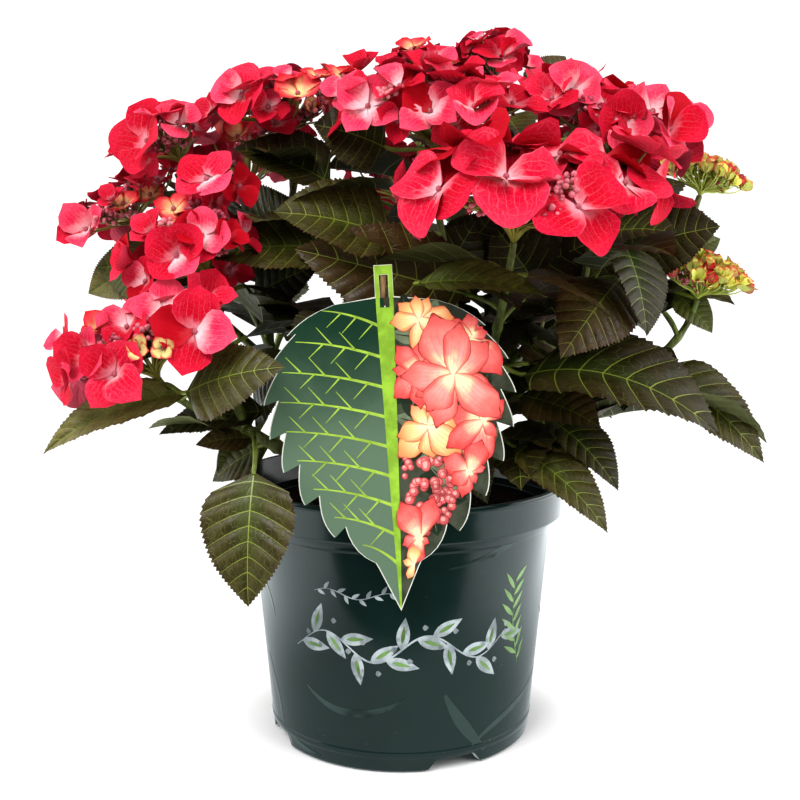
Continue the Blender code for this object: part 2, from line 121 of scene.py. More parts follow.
def spunShape(profile, steps, rounding=0.0):
    bm = bmesh.new()
    verts = [bm.verts.new((radius * mm, 0, height * mm)) for radius, height in profile]
    for first, second in zip(verts, verts[1:]):
        bm.edges.new((first, second))
    if rounding:
        bmesh.ops.bevel(bm, geom=verts[1:-1], offset=rounding * mm, affect="VERTICES", segments=2,
                        profile=0.5, material=-1, clamp_overlap=True)
    bmesh.ops.spin(bm, geom=bm.verts[:] + bm.edges[:], cent=(0, 0, 0), axis=(0, 0, 1),
                   angle=2 * math.pi, steps=steps, use_merge=True)
    bmesh.ops.remove_doubles(bm, verts=bm.verts[:], dist=0.01 * mm)
    bmesh.ops.recalc_face_normals(bm, faces=bm.faces[:])
    return bm


def shapeFromCurve(curve, weld):
    # a curve made a closed mesh, with its normals outwards
    holder = bpy.data.objects.new(curve.name, curve)
    bpy.context.scene.collection.objects.link(holder)
    shown = holder.evaluated_get(bpy.context.evaluated_depsgraph_get())
    mesh = bpy.data.meshes.new_from_object(shown)
    bm = bmesh.new()
    bm.from_mesh(mesh)
    bpy.data.objects.remove(holder)
    bpy.data.meshes.remove(mesh)
    bmesh.ops.remove_doubles(bm, verts=bm.verts[:], dist=weld * mm)
    bmesh.ops.recalc_face_normals(bm, faces=bm.faces[:])
    return bm


def addOutline(curve, places, radii=None, closed=False):
    spline = curve.splines.new("POLY")
    spline.points.add(len(places) - 1)
    for index, place in enumerate(places):
        spline.points[index].co = (*place, 1)
        spline.points[index].radius = radii[index] if radii else 1.0
    spline.use_cyclic_u = closed


def tubesMesh(name, routes, resolution):
    curve = bpy.data.curves.new(name, "CURVE")
    curve.dimensions = "3D"
    curve.bevel_depth = mm
    curve.bevel_resolution = resolution
    curve.use_fill_caps = True
    for points, radii in routes:
        addOutline(curve, [Vector(point) * mm for point in points], radii)
    return meshFromShape(name, shapeFromCurve(curve, 0.001))


# A form is a small mesh kept as arrays, so that many bent copies can be joined into one piece.
def formFromShape(bm):
    mesh = meshFromShape("form", bm)
    form = {
        "places": np.array([v.co for v in mesh.vertices], float),
        "corners": np.array([loop.vertex_index for loop in mesh.loops], int),
        "starts": np.array([face.loop_start for face in mesh.polygons], int),
        "kinds": np.array([face.material_index for face in mesh.polygons], int),
        "spots": np.array([spot.uv for spot in mesh.uv_layers[0].data], float),
    }
    form["sides"] = np.repeat(form["kinds"] % 2, [face.loop_total for face in mesh.polygons])
    bpy.data.meshes.remove(mesh)
    return form


def mappedGrid(columns, rows):
    # a flat grid of unit size with its own map, from which leaves and petals are bent
    bm = bmesh.new()
    bm.loops.layers.uv.new("OFBake")
    bmesh.ops.create_grid(bm, x_segments=columns, y_segments=rows, size=0.5, calc_uvs=True)
    return bm, list(bm.verts)


def closedForm(bm, top, edgeVerts, thickness):
    # gives a thin blade its under side, which meets the upper one round the edge
    made = bmesh.ops.duplicate(bm, geom=bm.verts[:] + bm.edges[:] + bm.faces[:])
    inner = [made["vert_map"][vert] for vert in top if vert not in edgeVerts]
    bmesh.ops.translate(bm, verts=inner, vec=(0, 0, -thickness))
    under = [item for item in made["geom"] if isinstance(item, bmesh.types.BMFace)]
    bmesh.ops.reverse_faces(bm, faces=under)
    for face in under:
        face.material_index += 1
    bmesh.ops.remove_doubles(bm, verts=bm.verts[:], dist=1e-6)
    return formFromShape(bm)


mapMargin = 0.02  # the strip that stays empty round each square of a map


class Gathered:
    def __init__(self, columns=1, rows=1):
        self.parts = []
        self.count = 0
        self.columns = columns
        self.rows = rows

    def add(self, form, places, tints, cell):
        # tints says which material each kind of face takes, cell which square of the map
        kinds = np.array(tints)[form["kinds"]]
        spots = mapMargin + form["spots"] * (1 - 2 * mapMargin)
        spots[:, 1] += form["sides"]
        spots = (spots + [cell, 0]) / [self.columns, self.rows]
        self.parts.append((places, form["corners"] + self.count, form["starts"], kinds, spots))
        self.count += len(places)

    def mesh(self, name):
        mesh = bpy.data.meshes.new(name)
        places = np.concatenate([part[0] for part in self.parts])
        corners = np.concatenate([part[1] for part in self.parts])
        kinds = np.concatenate([part[3] for part in self.parts])
        spots = np.concatenate([part[4] for part in self.parts])
        starts, offset = [], 0
        for part in self.parts:
            starts.append(part[2] + offset)
            offset += len(part[1])
        starts = np.concatenate(starts)
        mesh.vertices.add(len(places))
        mesh.vertices.foreach_set("co", places.astype(np.float32).ravel())
        mesh.loops.add(len(corners))
        mesh.loops.foreach_set("vertex_index", corners.astype(np.int32))
        mesh.polygons.add(len(starts))
        mesh.polygons.foreach_set("loop_start", starts.astype(np.int32))
        mesh.update(calc_edges=True)
        mesh.polygons.foreach_set("material_index", kinds.astype(np.int32))
        layer = mesh.uv_layers.new(name="OFBake")
        layer.data.foreach_set("uv", spots.astype(np.float32).ravel())
        return mesh


def curvePoint(first, second, third, last, t):
    s = 1 - t
    return first * s ** 3 + second * 3 * s * s * t + third * 3 * s * t * t + last * t ** 3


def frameFrom(zWay, xWay):
    z = Vector(zWay).normalized()
    x = Vector(xWay)
    x = (x - z * x.dot(z)).normalized()
    return Matrix((x, z.cross(x), z)).transposed()


def moved(places, turn, shift):
    return places @ np.array(turn).T + np.array(shift)


def bentBlade(form, length, width, fold, arch, twist, cup, wave, waves, phase):
    # bends a flat blade: a fold along its rib, an arch along its length, a twist and a wavy edge
    flat = form["places"]
    x = flat[:, 0] * width
    y = flat[:, 1] * length
    z = flat[:, 2] * length
    edge = np.abs(flat[:, 0]) * 2
    z = z + np.abs(x) * math.tan(math.radians(fold)) - cup * edge ** 2 * width
    side = np.where(flat[:, 0] > 0, 0.0, 1.9)
    z = z + wave * edge ** 2 * np.sin(2 * math.pi * (waves * flat[:, 1]) + phase + side) * width
    turn = math.radians(twist) * flat[:, 1]
    x, z = x * np.cos(turn) - z * np.sin(turn), x * np.sin(turn) + z * np.cos(turn)
    total = math.radians(arch)
    if abs(total) > 0.01:
        angle = total * flat[:, 1]
        radius = length / total
        y, z = radius * np.sin(angle) + z * np.sin(angle), -radius * (1 - np.cos(angle)) + z * np.cos(angle)
        half = total / 2
        y, z = y * math.cos(half) - z * math.sin(half), y * math.sin(half) + z * math.cos(half)
    return np.stack([x, y, z], axis=1)


def chordShare(arch):
    half = math.radians(arch) / 2
    return math.sin(half) / half if abs(half) > 0.005 else 1.0


# Helpers for materials

def wire(tree, socket, value):
    if isinstance(value, bpy.types.NodeSocket):
        tree.links.new(value, socket)
    elif socket.type == "RGBA":
        socket.default_value = (*value, 1.0)
    else:
        socket.default_value = value


def paint(tree, surface, colour):
    wire(tree, surface.inputs["Base Color"], colour)


def addNode(tree, kind, inputs=None, **settings):
    node = tree.nodes.new(kind)
    for key, value in settings.items():
        setattr(node, key, value)
    for key, value in (inputs or {}).items():
        wire(tree, node.inputs[key], value)
    return node


def mixColour(tree, share, first, second):
    return addNode(tree, "ShaderNodeMix", {0: share, 6: first, 7: second}, data_type="RGBA").outputs[2]


def maths(tree, operation, first, second=0.0, third=0.0):
    return addNode(tree, "ShaderNodeMath", {0: first, 1: second, 2: third}, operation=operation).outputs[0]


def times(tree, first, second):
    return maths(tree, "MULTIPLY", first, second)


def fromStripe(tree, value):
    # the distance from the nearest of evenly set stripes
    return maths(tree, "ABSOLUTE", maths(tree, "ADD", maths(tree, "FRACT", value), -0.5))


def axesOf(tree, spot):
    return addNode(tree, "ShaderNodeSeparateXYZ", {0: spot}).outputs


def toned(colour, change):
    return tuple(min(1.0, change * part) for part in colour)


def fade(tree, value, low, high, lowValue=0.0, highValue=1.0):
    inputs = {"Value": value, "From Min": low, "From Max": high, "To Min": lowValue, "To Max": highValue}
    return addNode(tree, "ShaderNodeMapRange", inputs, interpolation_type="SMOOTHSTEP").outputs[0]


def newGroup(name, inputs, output):
    tree = bpy.data.node_groups.new(name, "ShaderNodeTree")
    for label, kind, value in inputs:
        socket = tree.interface.new_socket(label, in_out="INPUT", socket_type=kind)
        if value is not None:
            socket.default_value = value
    tree.interface.new_socket(output, in_out="OUTPUT", socket_type="NodeSocketFloat")
    return tree, tree.nodes.new("NodeGroupInput").outputs, tree.nodes.new("NodeGroupOutput").inputs


def groupValue(tree, group, inputs):
    node = tree.nodes.new("ShaderNodeGroup")
    node.node_tree = group
    for key, value in inputs.items():
        wire(tree, node.inputs[key], value)
    return node.outputs[0]


def makeMottle():
    inputs = [("Spot", "NodeSocketVector", None), ("Scale", "NodeSocketFloat", 20.0),
              ("Low", "NodeSocketFloat", 0.35), ("High", "NodeSocketFloat", 0.65)]
    tree, given, out = newGroup("mottle", inputs, "Value")
    cloud = addNode(tree, "ShaderNodeTexNoise", {"Vector": given["Spot"], "Scale": given["Scale"],
                                                 "Detail": 4.0, "Roughness": 0.6})
    wire(tree, out["Value"], fade(tree, cloud.outputs["Fac"], given["Low"], given["High"]))
    return tree


def makeFineNet():
    inputs = [("Spot", "NodeSocketVector", None), ("Scale", "NodeSocketFloat", 30.0),
              ("Line", "NodeSocketFloat", 0.08)]
    tree, given, out = newGroup("fineNet", inputs, "Mask")
    cells = addNode(tree, "ShaderNodeTexVoronoi", {"Vector": given["Spot"], "Scale": given["Scale"]},
                    feature="DISTANCE_TO_EDGE")
    wire(tree, out["Mask"], fade(tree, cells.outputs["Distance"], given["Line"], 0.0))
    return tree


def makeSpecks():
    inputs = [("Spot", "NodeSocketVector", None), ("Scale", "NodeSocketFloat", 200.0),
              ("Size", "NodeSocketFloat", 0.15), ("Share", "NodeSocketFloat", 0.3)]
    tree, given, out = newGroup("specks", inputs, "Mask")
    cells = addNode(tree, "ShaderNodeTexVoronoi", {"Vector": given["Spot"], "Scale": given["Scale"]})
    discs = fade(tree, cells.outputs["Distance"], given["Size"], 0.0)
    chosen = addNode(tree, "ShaderNodeSeparateColor", {"Color": cells.outputs["Color"]}).outputs[0]
    wire(tree, out["Mask"], times(tree, discs, maths(tree, "LESS_THAN", chosen, given["Share"])))
    return tree


mottle = makeMottle()
fineNet = makeFineNet()
specks = makeSpecks()


def clouds(tree, spot, scale, low=0.35, high=0.65):
    return groupValue(tree, mottle, {"Spot": spot, "Scale": scale, "Low": low, "High": high})


def dots(tree, spot, scale, size, share):
    return groupValue(tree, specks, {"Spot": spot, "Scale": scale, "Size": size, "Share": share})


def newMaterial(name, roughness, settings=None):
    material = bpy.data.materials.new(name)
    material.use_nodes = True
    surface = material.node_tree.nodes["Principled BSDF"]
    surface.inputs["Roughness"].default_value = roughness
    for key, value in (settings or {}).items():
        surface.inputs[key].default_value = value
    return material, material.node_tree, surface


def objectSpot(tree, stretch=(1, 1, 1)):
    spot = addNode(tree, "ShaderNodeTexCoord").outputs["Object"]
    return addNode(tree, "ShaderNodeMapping", {"Vector": spot, "Scale": stretch}).outputs[0]


def addBump(tree, surface, height, strength, distance):
    inputs = {"Height": height, "Strength": strength, "Distance": distance * mm}
    wire(tree, surface.inputs["Normal"], addNode(tree, "ShaderNodeBump", inputs).outputs[0])


def plainMaterial(name, colour, roughness):
    material, tree, surface = newMaterial(name, roughness)
    paint(tree, surface, colour)
    return material


def mottledMaterial(name, dark, light, roughness, scale, bump=0.0, settings=None):
    material, tree, surface = newMaterial(name, roughness, settings)
    cloud = clouds(tree, objectSpot(tree), scale)
    paint(tree, surface, mixColour(tree, cloud, dark, light))
    if bump:
        addBump(tree, surface, cloud, 0.6, bump)
    return material


pot = {
    "rimRadius": 115.0, "rimTop": 176.9, "bandRadius": 112.3, "bandBottom": 154.6,
    "neckRadius": 103.1, "neckHeight": 152.4, "footRadius": 89.8, "wall": 2.0,
    "floorUnder": 8.0, "floorThick": 2.2, "footRing": 5.8, "padRadius": 20.0,
    "notchCount": 4, "notchFirst": 23.1, "notchWidth": 39.0, "notchTopWidth": 27.0, "notchHeight": 7.5,
    "steps": 288, "green": (0.0065, 0.019, 0.0165), "dust": (0.25, 0.24, 0.2), "roughness": 0.14,
}
soilTop = 152.0


def wallRadius(height):
    share = height / pot["neckHeight"]
    return pot["footRadius"] + (pot["neckRadius"] - pot["footRadius"]) * share


def potMaterial():
    material, tree, surface = newMaterial("potGreen", pot["roughness"], {"Specular IOR Level": 0.4})
    spot = objectSpot(tree)
    cloud = clouds(tree, spot, 9.0, 0.3, 0.7)
    dust = dots(tree, spot, 260.0, 0.16, 0.05)
    colour = mixColour(tree, cloud, pot["green"], toned(pot["green"], 1.35))
    colour = mixColour(tree, times(tree, dust, 0.35), colour, pot["dust"])
    paint(tree, surface, colour)
    rough = maths(tree, "MULTIPLY_ADD", cloud, 0.08, pot["roughness"] - 0.04)
    wire(tree, surface.inputs["Roughness"], maths(tree, "ADD", rough, times(tree, dust, 0.3)))
    addBump(tree, surface, clouds(tree, spot, 14.0, 0.1, 0.9), 0.25, 0.8)
    return material


def notchLift(x, y):
    pitch = 2 * math.pi / pot["notchCount"]
    away = (math.atan2(x, -y) - math.radians(pot["notchFirst"]) + pitch / 2) % pitch - pitch / 2
    arc = abs(away) * pot["footRadius"]
    slope = (pot["notchWidth"] - pot["notchTopWidth"]) / 2
    return pot["notchHeight"] * min(1.0, max(0.0, (pot["notchWidth"] / 2 - arc) / slope))


def makePot():
    wall, foot, neck, neckTop = pot["wall"], pot["footRadius"], pot["neckRadius"], pot["neckHeight"]
    rim, rimTop, band, bandBottom = pot["rimRadius"], pot["rimTop"], pot["bandRadius"], pot["bandBottom"]
    ring, floorTop = foot - pot["footRing"], pot["floorUnder"] + pot["floorThick"]
    lip, step = 1.3, 3.4  # the rim's turned edge
    profile = [
        (0, 0), (pot["padRadius"], 0), (pot["padRadius"], pot["floorUnder"]),
        (ring, pot["floorUnder"]), (ring + 0.4, 0), (foot - 1.0, 0), (foot, 1.0), (wallRadius(9), 9),
        (wallRadius(9) + 0.5, 10), (wallRadius(13) + 0.5, 13), (wallRadius(14), 14),
        (wallRadius(60), 60), (wallRadius(110), 110), (wallRadius(146), 146), (wallRadius(147) + 0.6, 147.5),
        (neck + 0.6, neckTop), (band - 1.2, bandBottom - 0.6), (band, bandBottom + 0.8),
        (rim - lip, rimTop - step), (rim, rimTop - step + 0.7), (rim, rimTop),
        (rim - wall - lip, rimTop), (band - wall, bandBottom + 2.0),
        (neck - wall, neckTop + 2.0), (neck - wall, neckTop - 4),
        (wallRadius(14) - wall, 14), (wallRadius(10) - wall, floorTop), (0, floorTop),
    ]
    bm = spunShape(profile, pot["steps"], rounding=0.35)
    for vert in bm.verts:
        if math.hypot(vert.co.x, vert.co.y) > 60 * mm:
            vert.co.z = max(vert.co.z, notchLift(vert.co.x, vert.co.y) * mm)
    finishPiece(pieceFromShape("potShell", bm, [potMaterial()], 40), "pot", "pot")
    print("pot made")


# The print on the pot: a garland of plain leaves and dots, and a few faint sweeping lines.
garland = {
    "height": 84.0, "reach": 74.0, "leaves": 15, "leafLength": 22.0, "leafWidth": 8.5, "rise": 9.0,
    "ink": 0.14, "lineWidth": 1.3, "silver": (0.46, 0.52, 0.54), "silverDark": (0.22, 0.26, 0.28),
    "lime": (0.13, 0.24, 0.07), "faint": (0.03, 0.06, 0.052),
    # the small sprigs: leaves, leaf length and width, line width
    "fineSprig": (12, 6.5, 2.4, 0.7), "sideSprig": (13, 15.0, 3.2, 0.8),
    # sweeps low down and round the sides: four points and a width each
    "sweeps": [
        ((-118, 60), (-104, 40), (-100, 30), (-96, 12), 4.5), ((-98, 14), (-84, 8), (-70, 4), (-56, 4), 3.5),
        ((-66, 52), (-44, 34), (-22, 36), (2, 50), 5.0), ((28, 52), (36, 34), (46, 22), (58, 8), 8.0),
        ((46, 12), (66, 30), (96, 30), (128, 46), 4.5), ((30, 136), (60, 140), (86, 150), (110, 158), 4.0),
        ((-126, 120), (-112, 112), (-104, 104), (-100, 92), 3.5),
        ((128, 90), (150, 70), (176, 84), (200, 60), 4.5),
        ((-140, 84), (-164, 60), (-190, 66), (-214, 40), 4.5),
        ((222, 110), (246, 96), (262, 60), (270, 24), 6.0),
    ],
}


def wrapOnPot(bm, lift):
    # x is the length along the wall from its front, z the height
    for vert in bm.verts:
        height = vert.co.z
        radius = wallRadius(height / mm) * mm + lift * mm
        angle = vert.co.x / radius
        depth = vert.co.y
        vert.co = ((radius - depth) * math.sin(angle), -(radius - depth) * math.cos(angle), height)


def inkPatch(bm, columns, rows, shape):
    made = bmesh.ops.create_grid(bm, x_segments=columns, y_segments=rows, size=0.5)["verts"]
    for vert in made:
        vert.co = shape(vert.co.x + 0.5, vert.co.y)
    faces = list({face for vert in made for face in vert.link_faces})
    bmesh.ops.solidify(bm, geom=faces, thickness=0.08 * mm)


def inkLeaf(bm, foot, angle, length, width, lift=0.0):
    turn = Matrix.Rotation(angle, 3, "Y")

    def shape(along, across):
        half = width * math.sin(math.pi * along ** 0.8) * across
        return (Vector((foot[0], -lift, foot[1])) + turn @ Vector((along * length, 0, half))) * mm
    inkPatch(bm, 8, 4, shape)


def inkLine(bm, route, width, columns=90):
    def shape(along, across):
        here, ahead = Vector(route(along)), Vector(route(along + 0.01))
        way = (ahead - here).normalized()
        breadth = width * (0.25 + 0.75 * math.sin(math.pi * min(1, max(0, along))))
        place = here + Vector((-way.y, way.x)) * across * breadth
        return Vector((place.x, 0, place.y)) * mm
    inkPatch(bm, columns, 1, shape)


def inkSprig(bm, stem, leaves, length, width, lineWidth, dotted=False):
    # a stem with leaves on either side in turn; gives the veins of a dotted one
    veins = []
    inkLine(bm, stem, lineWidth)
    for index in range(leaves):
        along = (index + 0.5) / leaves
        foot, ahead = stem(along), stem(along + 0.01)
        lean = math.atan2(ahead[1] - foot[1], ahead[0] - foot[0])
        side = 1 if index % 2 else -1
        angle = lean + side * 0.75
        inkLeaf(bm, foot, -angle, length, width)
        if dotted:
            inkLeaf(bm, (foot[0] + 3.4, foot[1] - side * 7.5), 0.0, 4.0, 3.8)
            start = 0.2 * length
            veins.append(((foot[0] + start * math.cos(angle), foot[1] + start * math.sin(angle)), -angle))
    return veins


def makePotPrint():
    bm = bmesh.new()

    def broad(along):
        x = garland["reach"] * (2 * along - 1)
        return x, garland["height"] + garland["rise"] * math.sin(x / garland["reach"] * 2.2 * math.pi)

    def fine(along):
        return -58 + 58 * along, 119 + 2.5 * math.sin(9 * along)
    veins = inkSprig(bm, broad, garland["leaves"], garland["leafLength"], garland["leafWidth"],
                     garland["lineWidth"], True)
    inkSprig(bm, fine, *garland["fineSprig"])
    kinds = [len(bm.faces)]

    def side(along):
        return 88 - 7 * math.sin(2.4 * along), 62 + 60 * along
    inkSprig(bm, side, *garland["sideSprig"])
    for foot, angle in veins:
        inkLeaf(bm, foot, angle, 0.55 * garland["leafLength"], 0.3 * garland["leafWidth"], 0.1)
    kinds.append(len(bm.faces))
    for *points, width in garland["sweeps"]:
        inkLine(bm, lambda t, points=[Vector(point) for point in points]: curvePoint(*points, t), width)
    for index, face in enumerate(bm.faces):
        face.material_index = sum(index >= kind for kind in kinds)
    wrapOnPot(bm, garland["ink"])
    bmesh.ops.recalc_face_normals(bm, faces=bm.faces[:])
    silver = mottledMaterial("printSilver", garland["silverDark"], garland["silver"], 0.4, 90)
    lime = mottledMaterial("printGreen", garland["lime"], toned(garland["lime"], 1.5), 0.3, 60)
    faint = mottledMaterial("printFaint", toned(garland["faint"], 0.8), garland["faint"], 0.2, 40)
    finishPiece(pieceFromShape("potPrint", bm, [silver, lime, faint], 40), "pot")
    print("pot print made")


mix = {
    "rings": 46, "steps": 150, "crumb": 3.0, "chips": 1100, "chipSize": (1.2, 4.6), "seed": 5,
    "palePart": 0.035, "brownPart": 0.45, "fibre": (0.12, 0.085, 0.05), "bark": (0.085, 0.05, 0.026),
    "dark": (0.007, 0.0045, 0.003), "brown": (0.032, 0.02, 0.012),
    "grit": (0.2, 0.18, 0.14), "pale": (0.3, 0.27, 0.22),
}


def soilHeight(x, y):
    place = Vector((x, y, 0))
    return mix["crumb"] * (noise.noise(place * 0.035) * 0.9 + noise.noise(place * 0.16) * 0.7
                           + abs(noise.noise(place * 0.42)) * 0.9 - 0.3)


def makeMix():
    inset = pot["wall"] + 0.6
    rim = pot["neckRadius"] - inset
    bottom = pot["floorUnder"] + pot["floorThick"] + 0.3
    profile = [(rim * ring / mix["rings"], soilTop) for ring in range(mix["rings"] + 1)]
    profile += [(rim, soilTop - 5), (wallRadius(30) - inset, 30),
                (wallRadius(bottom) - inset, bottom), (0, bottom)]
    bm = spunShape(profile, mix["steps"])
    for vert in bm.verts:
        if vert.co.z > (soilTop - 1) * mm:
            vert.co.z += soilHeight(vert.co.x / mm, vert.co.y / mm) * mm
    material, tree, surface = newMaterial("pottingMix", 0.95, {"Specular IOR Level": 0.2})
    spot = objectSpot(tree)
    crumbs = clouds(tree, spot, 160.0, 0.35, 0.7)
    colour = mixColour(tree, crumbs, mix["dark"], mix["brown"])
    colour = mixColour(tree, times(tree, dots(tree, spot, 420.0, 0.3, 0.12), 0.5), colour, mix["fibre"])
    paint(tree, surface, colour)
    addBump(tree, surface, crumbs, 0.8, 1.5)
    finishPiece(pieceFromShape("mixBody", bm, [material], 80), "potting_mix", "potting_mix")

    draw = random.Random(mix["seed"])
    bm = bmesh.new()
    low, high = mix["chipSize"]
    for _ in range(mix["chips"]):
        radius = rim * math.sqrt(draw.random()) * 0.985
        angle = draw.uniform(0, 2 * math.pi)
        x, y = radius * math.cos(angle), radius * math.sin(angle)
        size = low + (high - low) * draw.random() ** 2.2
        place = Vector((x, y, soilTop + soilHeight(x, y) + size * 0.12)) * mm
        turn = Matrix.Rotation(draw.uniform(0, 6.3), 4, "Z")
        turn = turn @ Matrix.Rotation(draw.uniform(-0.7, 0.7), 4, "X")
        shape = Matrix.Diagonal((size * mm, size * draw.uniform(0.3, 0.8) * mm, size * 0.4 * mm, 1))
        made = bmesh.ops.create_icosphere(bm, subdivisions=1, radius=0.5,
                                          matrix=Matrix.Translation(place) @ turn @ shape)["verts"]
        kind = 2 if draw.random() < mix["palePart"] else (1 if draw.random() < mix["brownPart"] else 0)
        for face in {face for vert in made for face in vert.link_faces}:
            face.material_index = kind
    bark = mottledMaterial("barkDark", mix["dark"], mix["brown"], 0.9, 300, 0.3)
    brown = mottledMaterial("barkBrown", mix["brown"], mix["bark"], 0.85, 300, 0.3)
    pale = mottledMaterial("gritPale", mix["grit"], mix["pale"], 0.9, 500, 0.2)
    finishPiece(pieceFromShape("mixChips", bm, [bark, brown, pale], 20), "potting_mix")
    print("potting mix made")


# The card is a leaf-shaped plate on a bamboo cane, printed with plain motifs.
card = {
    "tip": (0.0, -119.9, 117.0), "top": (-11.0, -105.9, 323.0), "thickness": 1.0,
    "halfWidth": 75.0, "bladeShare": 0.91, "pointShare": 0.86, "fullness": 0.72, "squareness": 0.55,
    "teeth": 8, "toothDepth": 0.13, "toothHook": 0.045, "dripHalfWidth": 12.0, "stalkHalfWidth": 5.5,
    "slotHalfWidth": 2.6, "slotFromTop": (6.0, 24.0), "pointsPerTooth": 6, "bevel": 0.15,
    "edge": (0.62, 0.64, 0.55), "back": (0.7, 0.71, 0.66),
}
cardLength = (Vector(card["top"]) - Vector(card["tip"])).length
cardBlade = cardLength * card["bladeShare"]


def cardHalfWidth(share):
    share = max(0.0, share)
    body = min(share / card["pointShare"], 1.0)
    full = card["halfWidth"] * max(0.0, math.sin(math.pi * body ** card["fullness"])) ** card["squareness"]
    drip = card["dripHalfWidth"] * min(1.0, (1 - share) / (1 - card["pointShare"]))
    return max(full, drip) if share < 1 else 0.0


def toothCut(share):
    # how deep the teeth cut into the half width
    return card["toothDepth"] * (0.55 + 1.1 * share)


def cardInnerHalf(share):
    # half width at the foot of the teeth
    lower = share * (1 + card["toothHook"])
    return cardHalfWidth(lower) * (1 - toothCut(lower))


def cardSide(inset=0.0):
    # one edge from shoulder to tip, with teeth that point towards the tip
    points = [(card["stalkHalfWidth"] - inset, cardBlade - inset)]
    for tooth in range(card["teeth"]):
        start = card["pointShare"] * tooth / card["teeth"]
        end = card["pointShare"] * (tooth + 1) / card["teeth"]
        for step in range(0 if tooth else 1, card["pointsPerTooth"] + 1):
            along = step / card["pointsPerTooth"]
            share = start + (end - start) * along
            notch = toothCut(share) * (1 - along) ** 1.4 if tooth else 0.0
            hook = card["toothHook"] * share * (1 - along) ** 3 if tooth else 0.0
            points.append((cardHalfWidth(share) * (1 - notch) - inset, cardBlade * (1 - share + hook)))
    return points + [(cardHalfWidth(share) - inset, cardBlade * (1 - share)) for share in (0.9, 0.95)]


def cardFrame():
    rise = (Vector(card["top"]) - Vector(card["tip"])).normalized()
    face = Vector((1, 0, 0)).cross(rise).normalized()
    turn = Matrix((rise.cross(face), rise, face)).transposed().to_4x4()
    return Matrix.Translation(Vector(card["tip"]) * mm) @ turn


def flatShape(bm, outline, level, thickness, kind=0):
    # a flat solid of an outline, in the card's own plane
    face = bm.faces.new([bm.verts.new((x * mm, y * mm, level * mm)) for x, y in outline])
    face.normal_update()
    if face.normal.z < 0:
        face.normal_flip()
    face.material_index = kind
    made = bmesh.ops.extrude_face_region(bm, geom=[face])["geom"]
    shifted = [item for item in made if isinstance(item, bmesh.types.BMVert)]
    bmesh.ops.translate(bm, verts=shifted, vec=(0, 0, thickness * mm))


def makeCardPlate():
    right = [(card["stalkHalfWidth"], cardLength)] + cardSide()
    outline = right + [(0.0, 0.0)] + [(-x, y) for x, y in reversed(right)]
    curve = bpy.data.curves.new("cardPlate", "CURVE")
    curve.dimensions = "2D"
    curve.fill_mode = "BOTH"
    curve.extrude = (card["thickness"] / 2 - card["bevel"]) * mm
    curve.bevel_depth = card["bevel"] * mm
    curve.bevel_resolution = 1
    curve.offset = -card["bevel"] * mm
    slotTop, slotBottom = (cardLength - away for away in card["slotFromTop"])
    wide = card["slotHalfWidth"]
    slot = [(-wide, slotBottom), (wide, slotBottom), (wide, slotTop), (-wide, slotTop)]
    for loop in (outline, slot):
        addOutline(curve, [(x * mm, y * mm, 0) for x, y in loop], closed=True)
    bm = shapeFromCurve(curve, 0.002)
    bmesh.ops.transform(bm, matrix=cardFrame(), verts=bm.verts[:])
    material = mottledMaterial("cardStock", card["edge"], card["back"], 0.3, 240,
                               settings={"Specular IOR Level": 0.5})
    finishPiece(pieceFromShape("cardPlate", bm, [material], 40), "card", "label_card")


cardPrint = {
    "inset": 0.7, "sideVeins": 9, "veinWidth": 2.0, "twigWidth": 1.1, "twigReach": 9.0, "leaves": 46,
    "green": (0.01, 0.045, 0.024), "greenLow": (0.12, 0.19, 0.125), "ground": (0.045, 0.052, 0.034),
    "lime": (0.36, 0.54, 0.07), "stalk": (0.27, 0.47, 0.045),
    "leafDark": (0.02, 0.032, 0.018), "leaf": (0.15, 0.18, 0.11),
    # twigs: share of the way along their vein, and how far they rise
    "twigs": [(0.35, 11), (0.6, 11), (0.82, 10), (0.2, -9), (0.46, -9), (0.7, -8)],
    # flowers: place across and up from the tip, radius, petals, colour
    "flowers": [((20, 174), 24, 7, 2), ((50, 162), 27, 7, 0), ((22, 110), 24, 8, 2), ((54, 112), 28, 7, 0),
                ((18, 142), 24, 8, 0), ((38, 140), 36, 9, 1), ((45, 82), 19, 6, 0), ((13, 44), 24, 6, 0),
                ((9, 28), 13, 5, 2)],
    "rims": [(0.66, 0.03, 0.035), (0.78, 0.06, 0.055), (0.8, 0.15, 0.045)],
    "middles": [(0.84, 0.15, 0.13), (0.9, 0.27, 0.23), (0.92, 0.66, 0.26)],
    "eye": (0.95, 0.84, 0.5), "gleam": (0.98, 0.8, 0.72), "outline": (0.4, 0.04, 0.035),
    "beads": 120, "bead": (0.56, 0.11, 0.115), "beadLight": (0.82, 0.38, 0.34),
    "shade": (0.3, 0.035, 0.035), "seed": 11,
}


def insideCard(x, y, room):
    return 4.5 + room < x < cardInnerHalf(1 - y / cardBlade) - room and y < cardBlade - 1 - room


def cardRoom(centre, angle):
    # how far a petal may reach before it leaves the card's printed half
    reach, c, s = 0.0, math.cos(angle), math.sin(angle)
    while reach < 40 and insideCard(centre[0] + reach * c, centre[1] + reach * s, -1.5):
        reach += 1.0
    return reach


def fadingInk(name, high, low):
    # the ground of the green half, paler towards the tip
    material, tree, surface = newMaterial(name, 0.28, {"Specular IOR Level": 0.5})
    spot = objectSpot(tree)
    height = maths(tree, "MULTIPLY_ADD", clouds(tree, spot, 26.0), 0.012, axesOf(tree, spot)[2])
    paint(tree, surface, mixColour(tree, fade(tree, height, 0.3, 0.205), high, low))
    return material


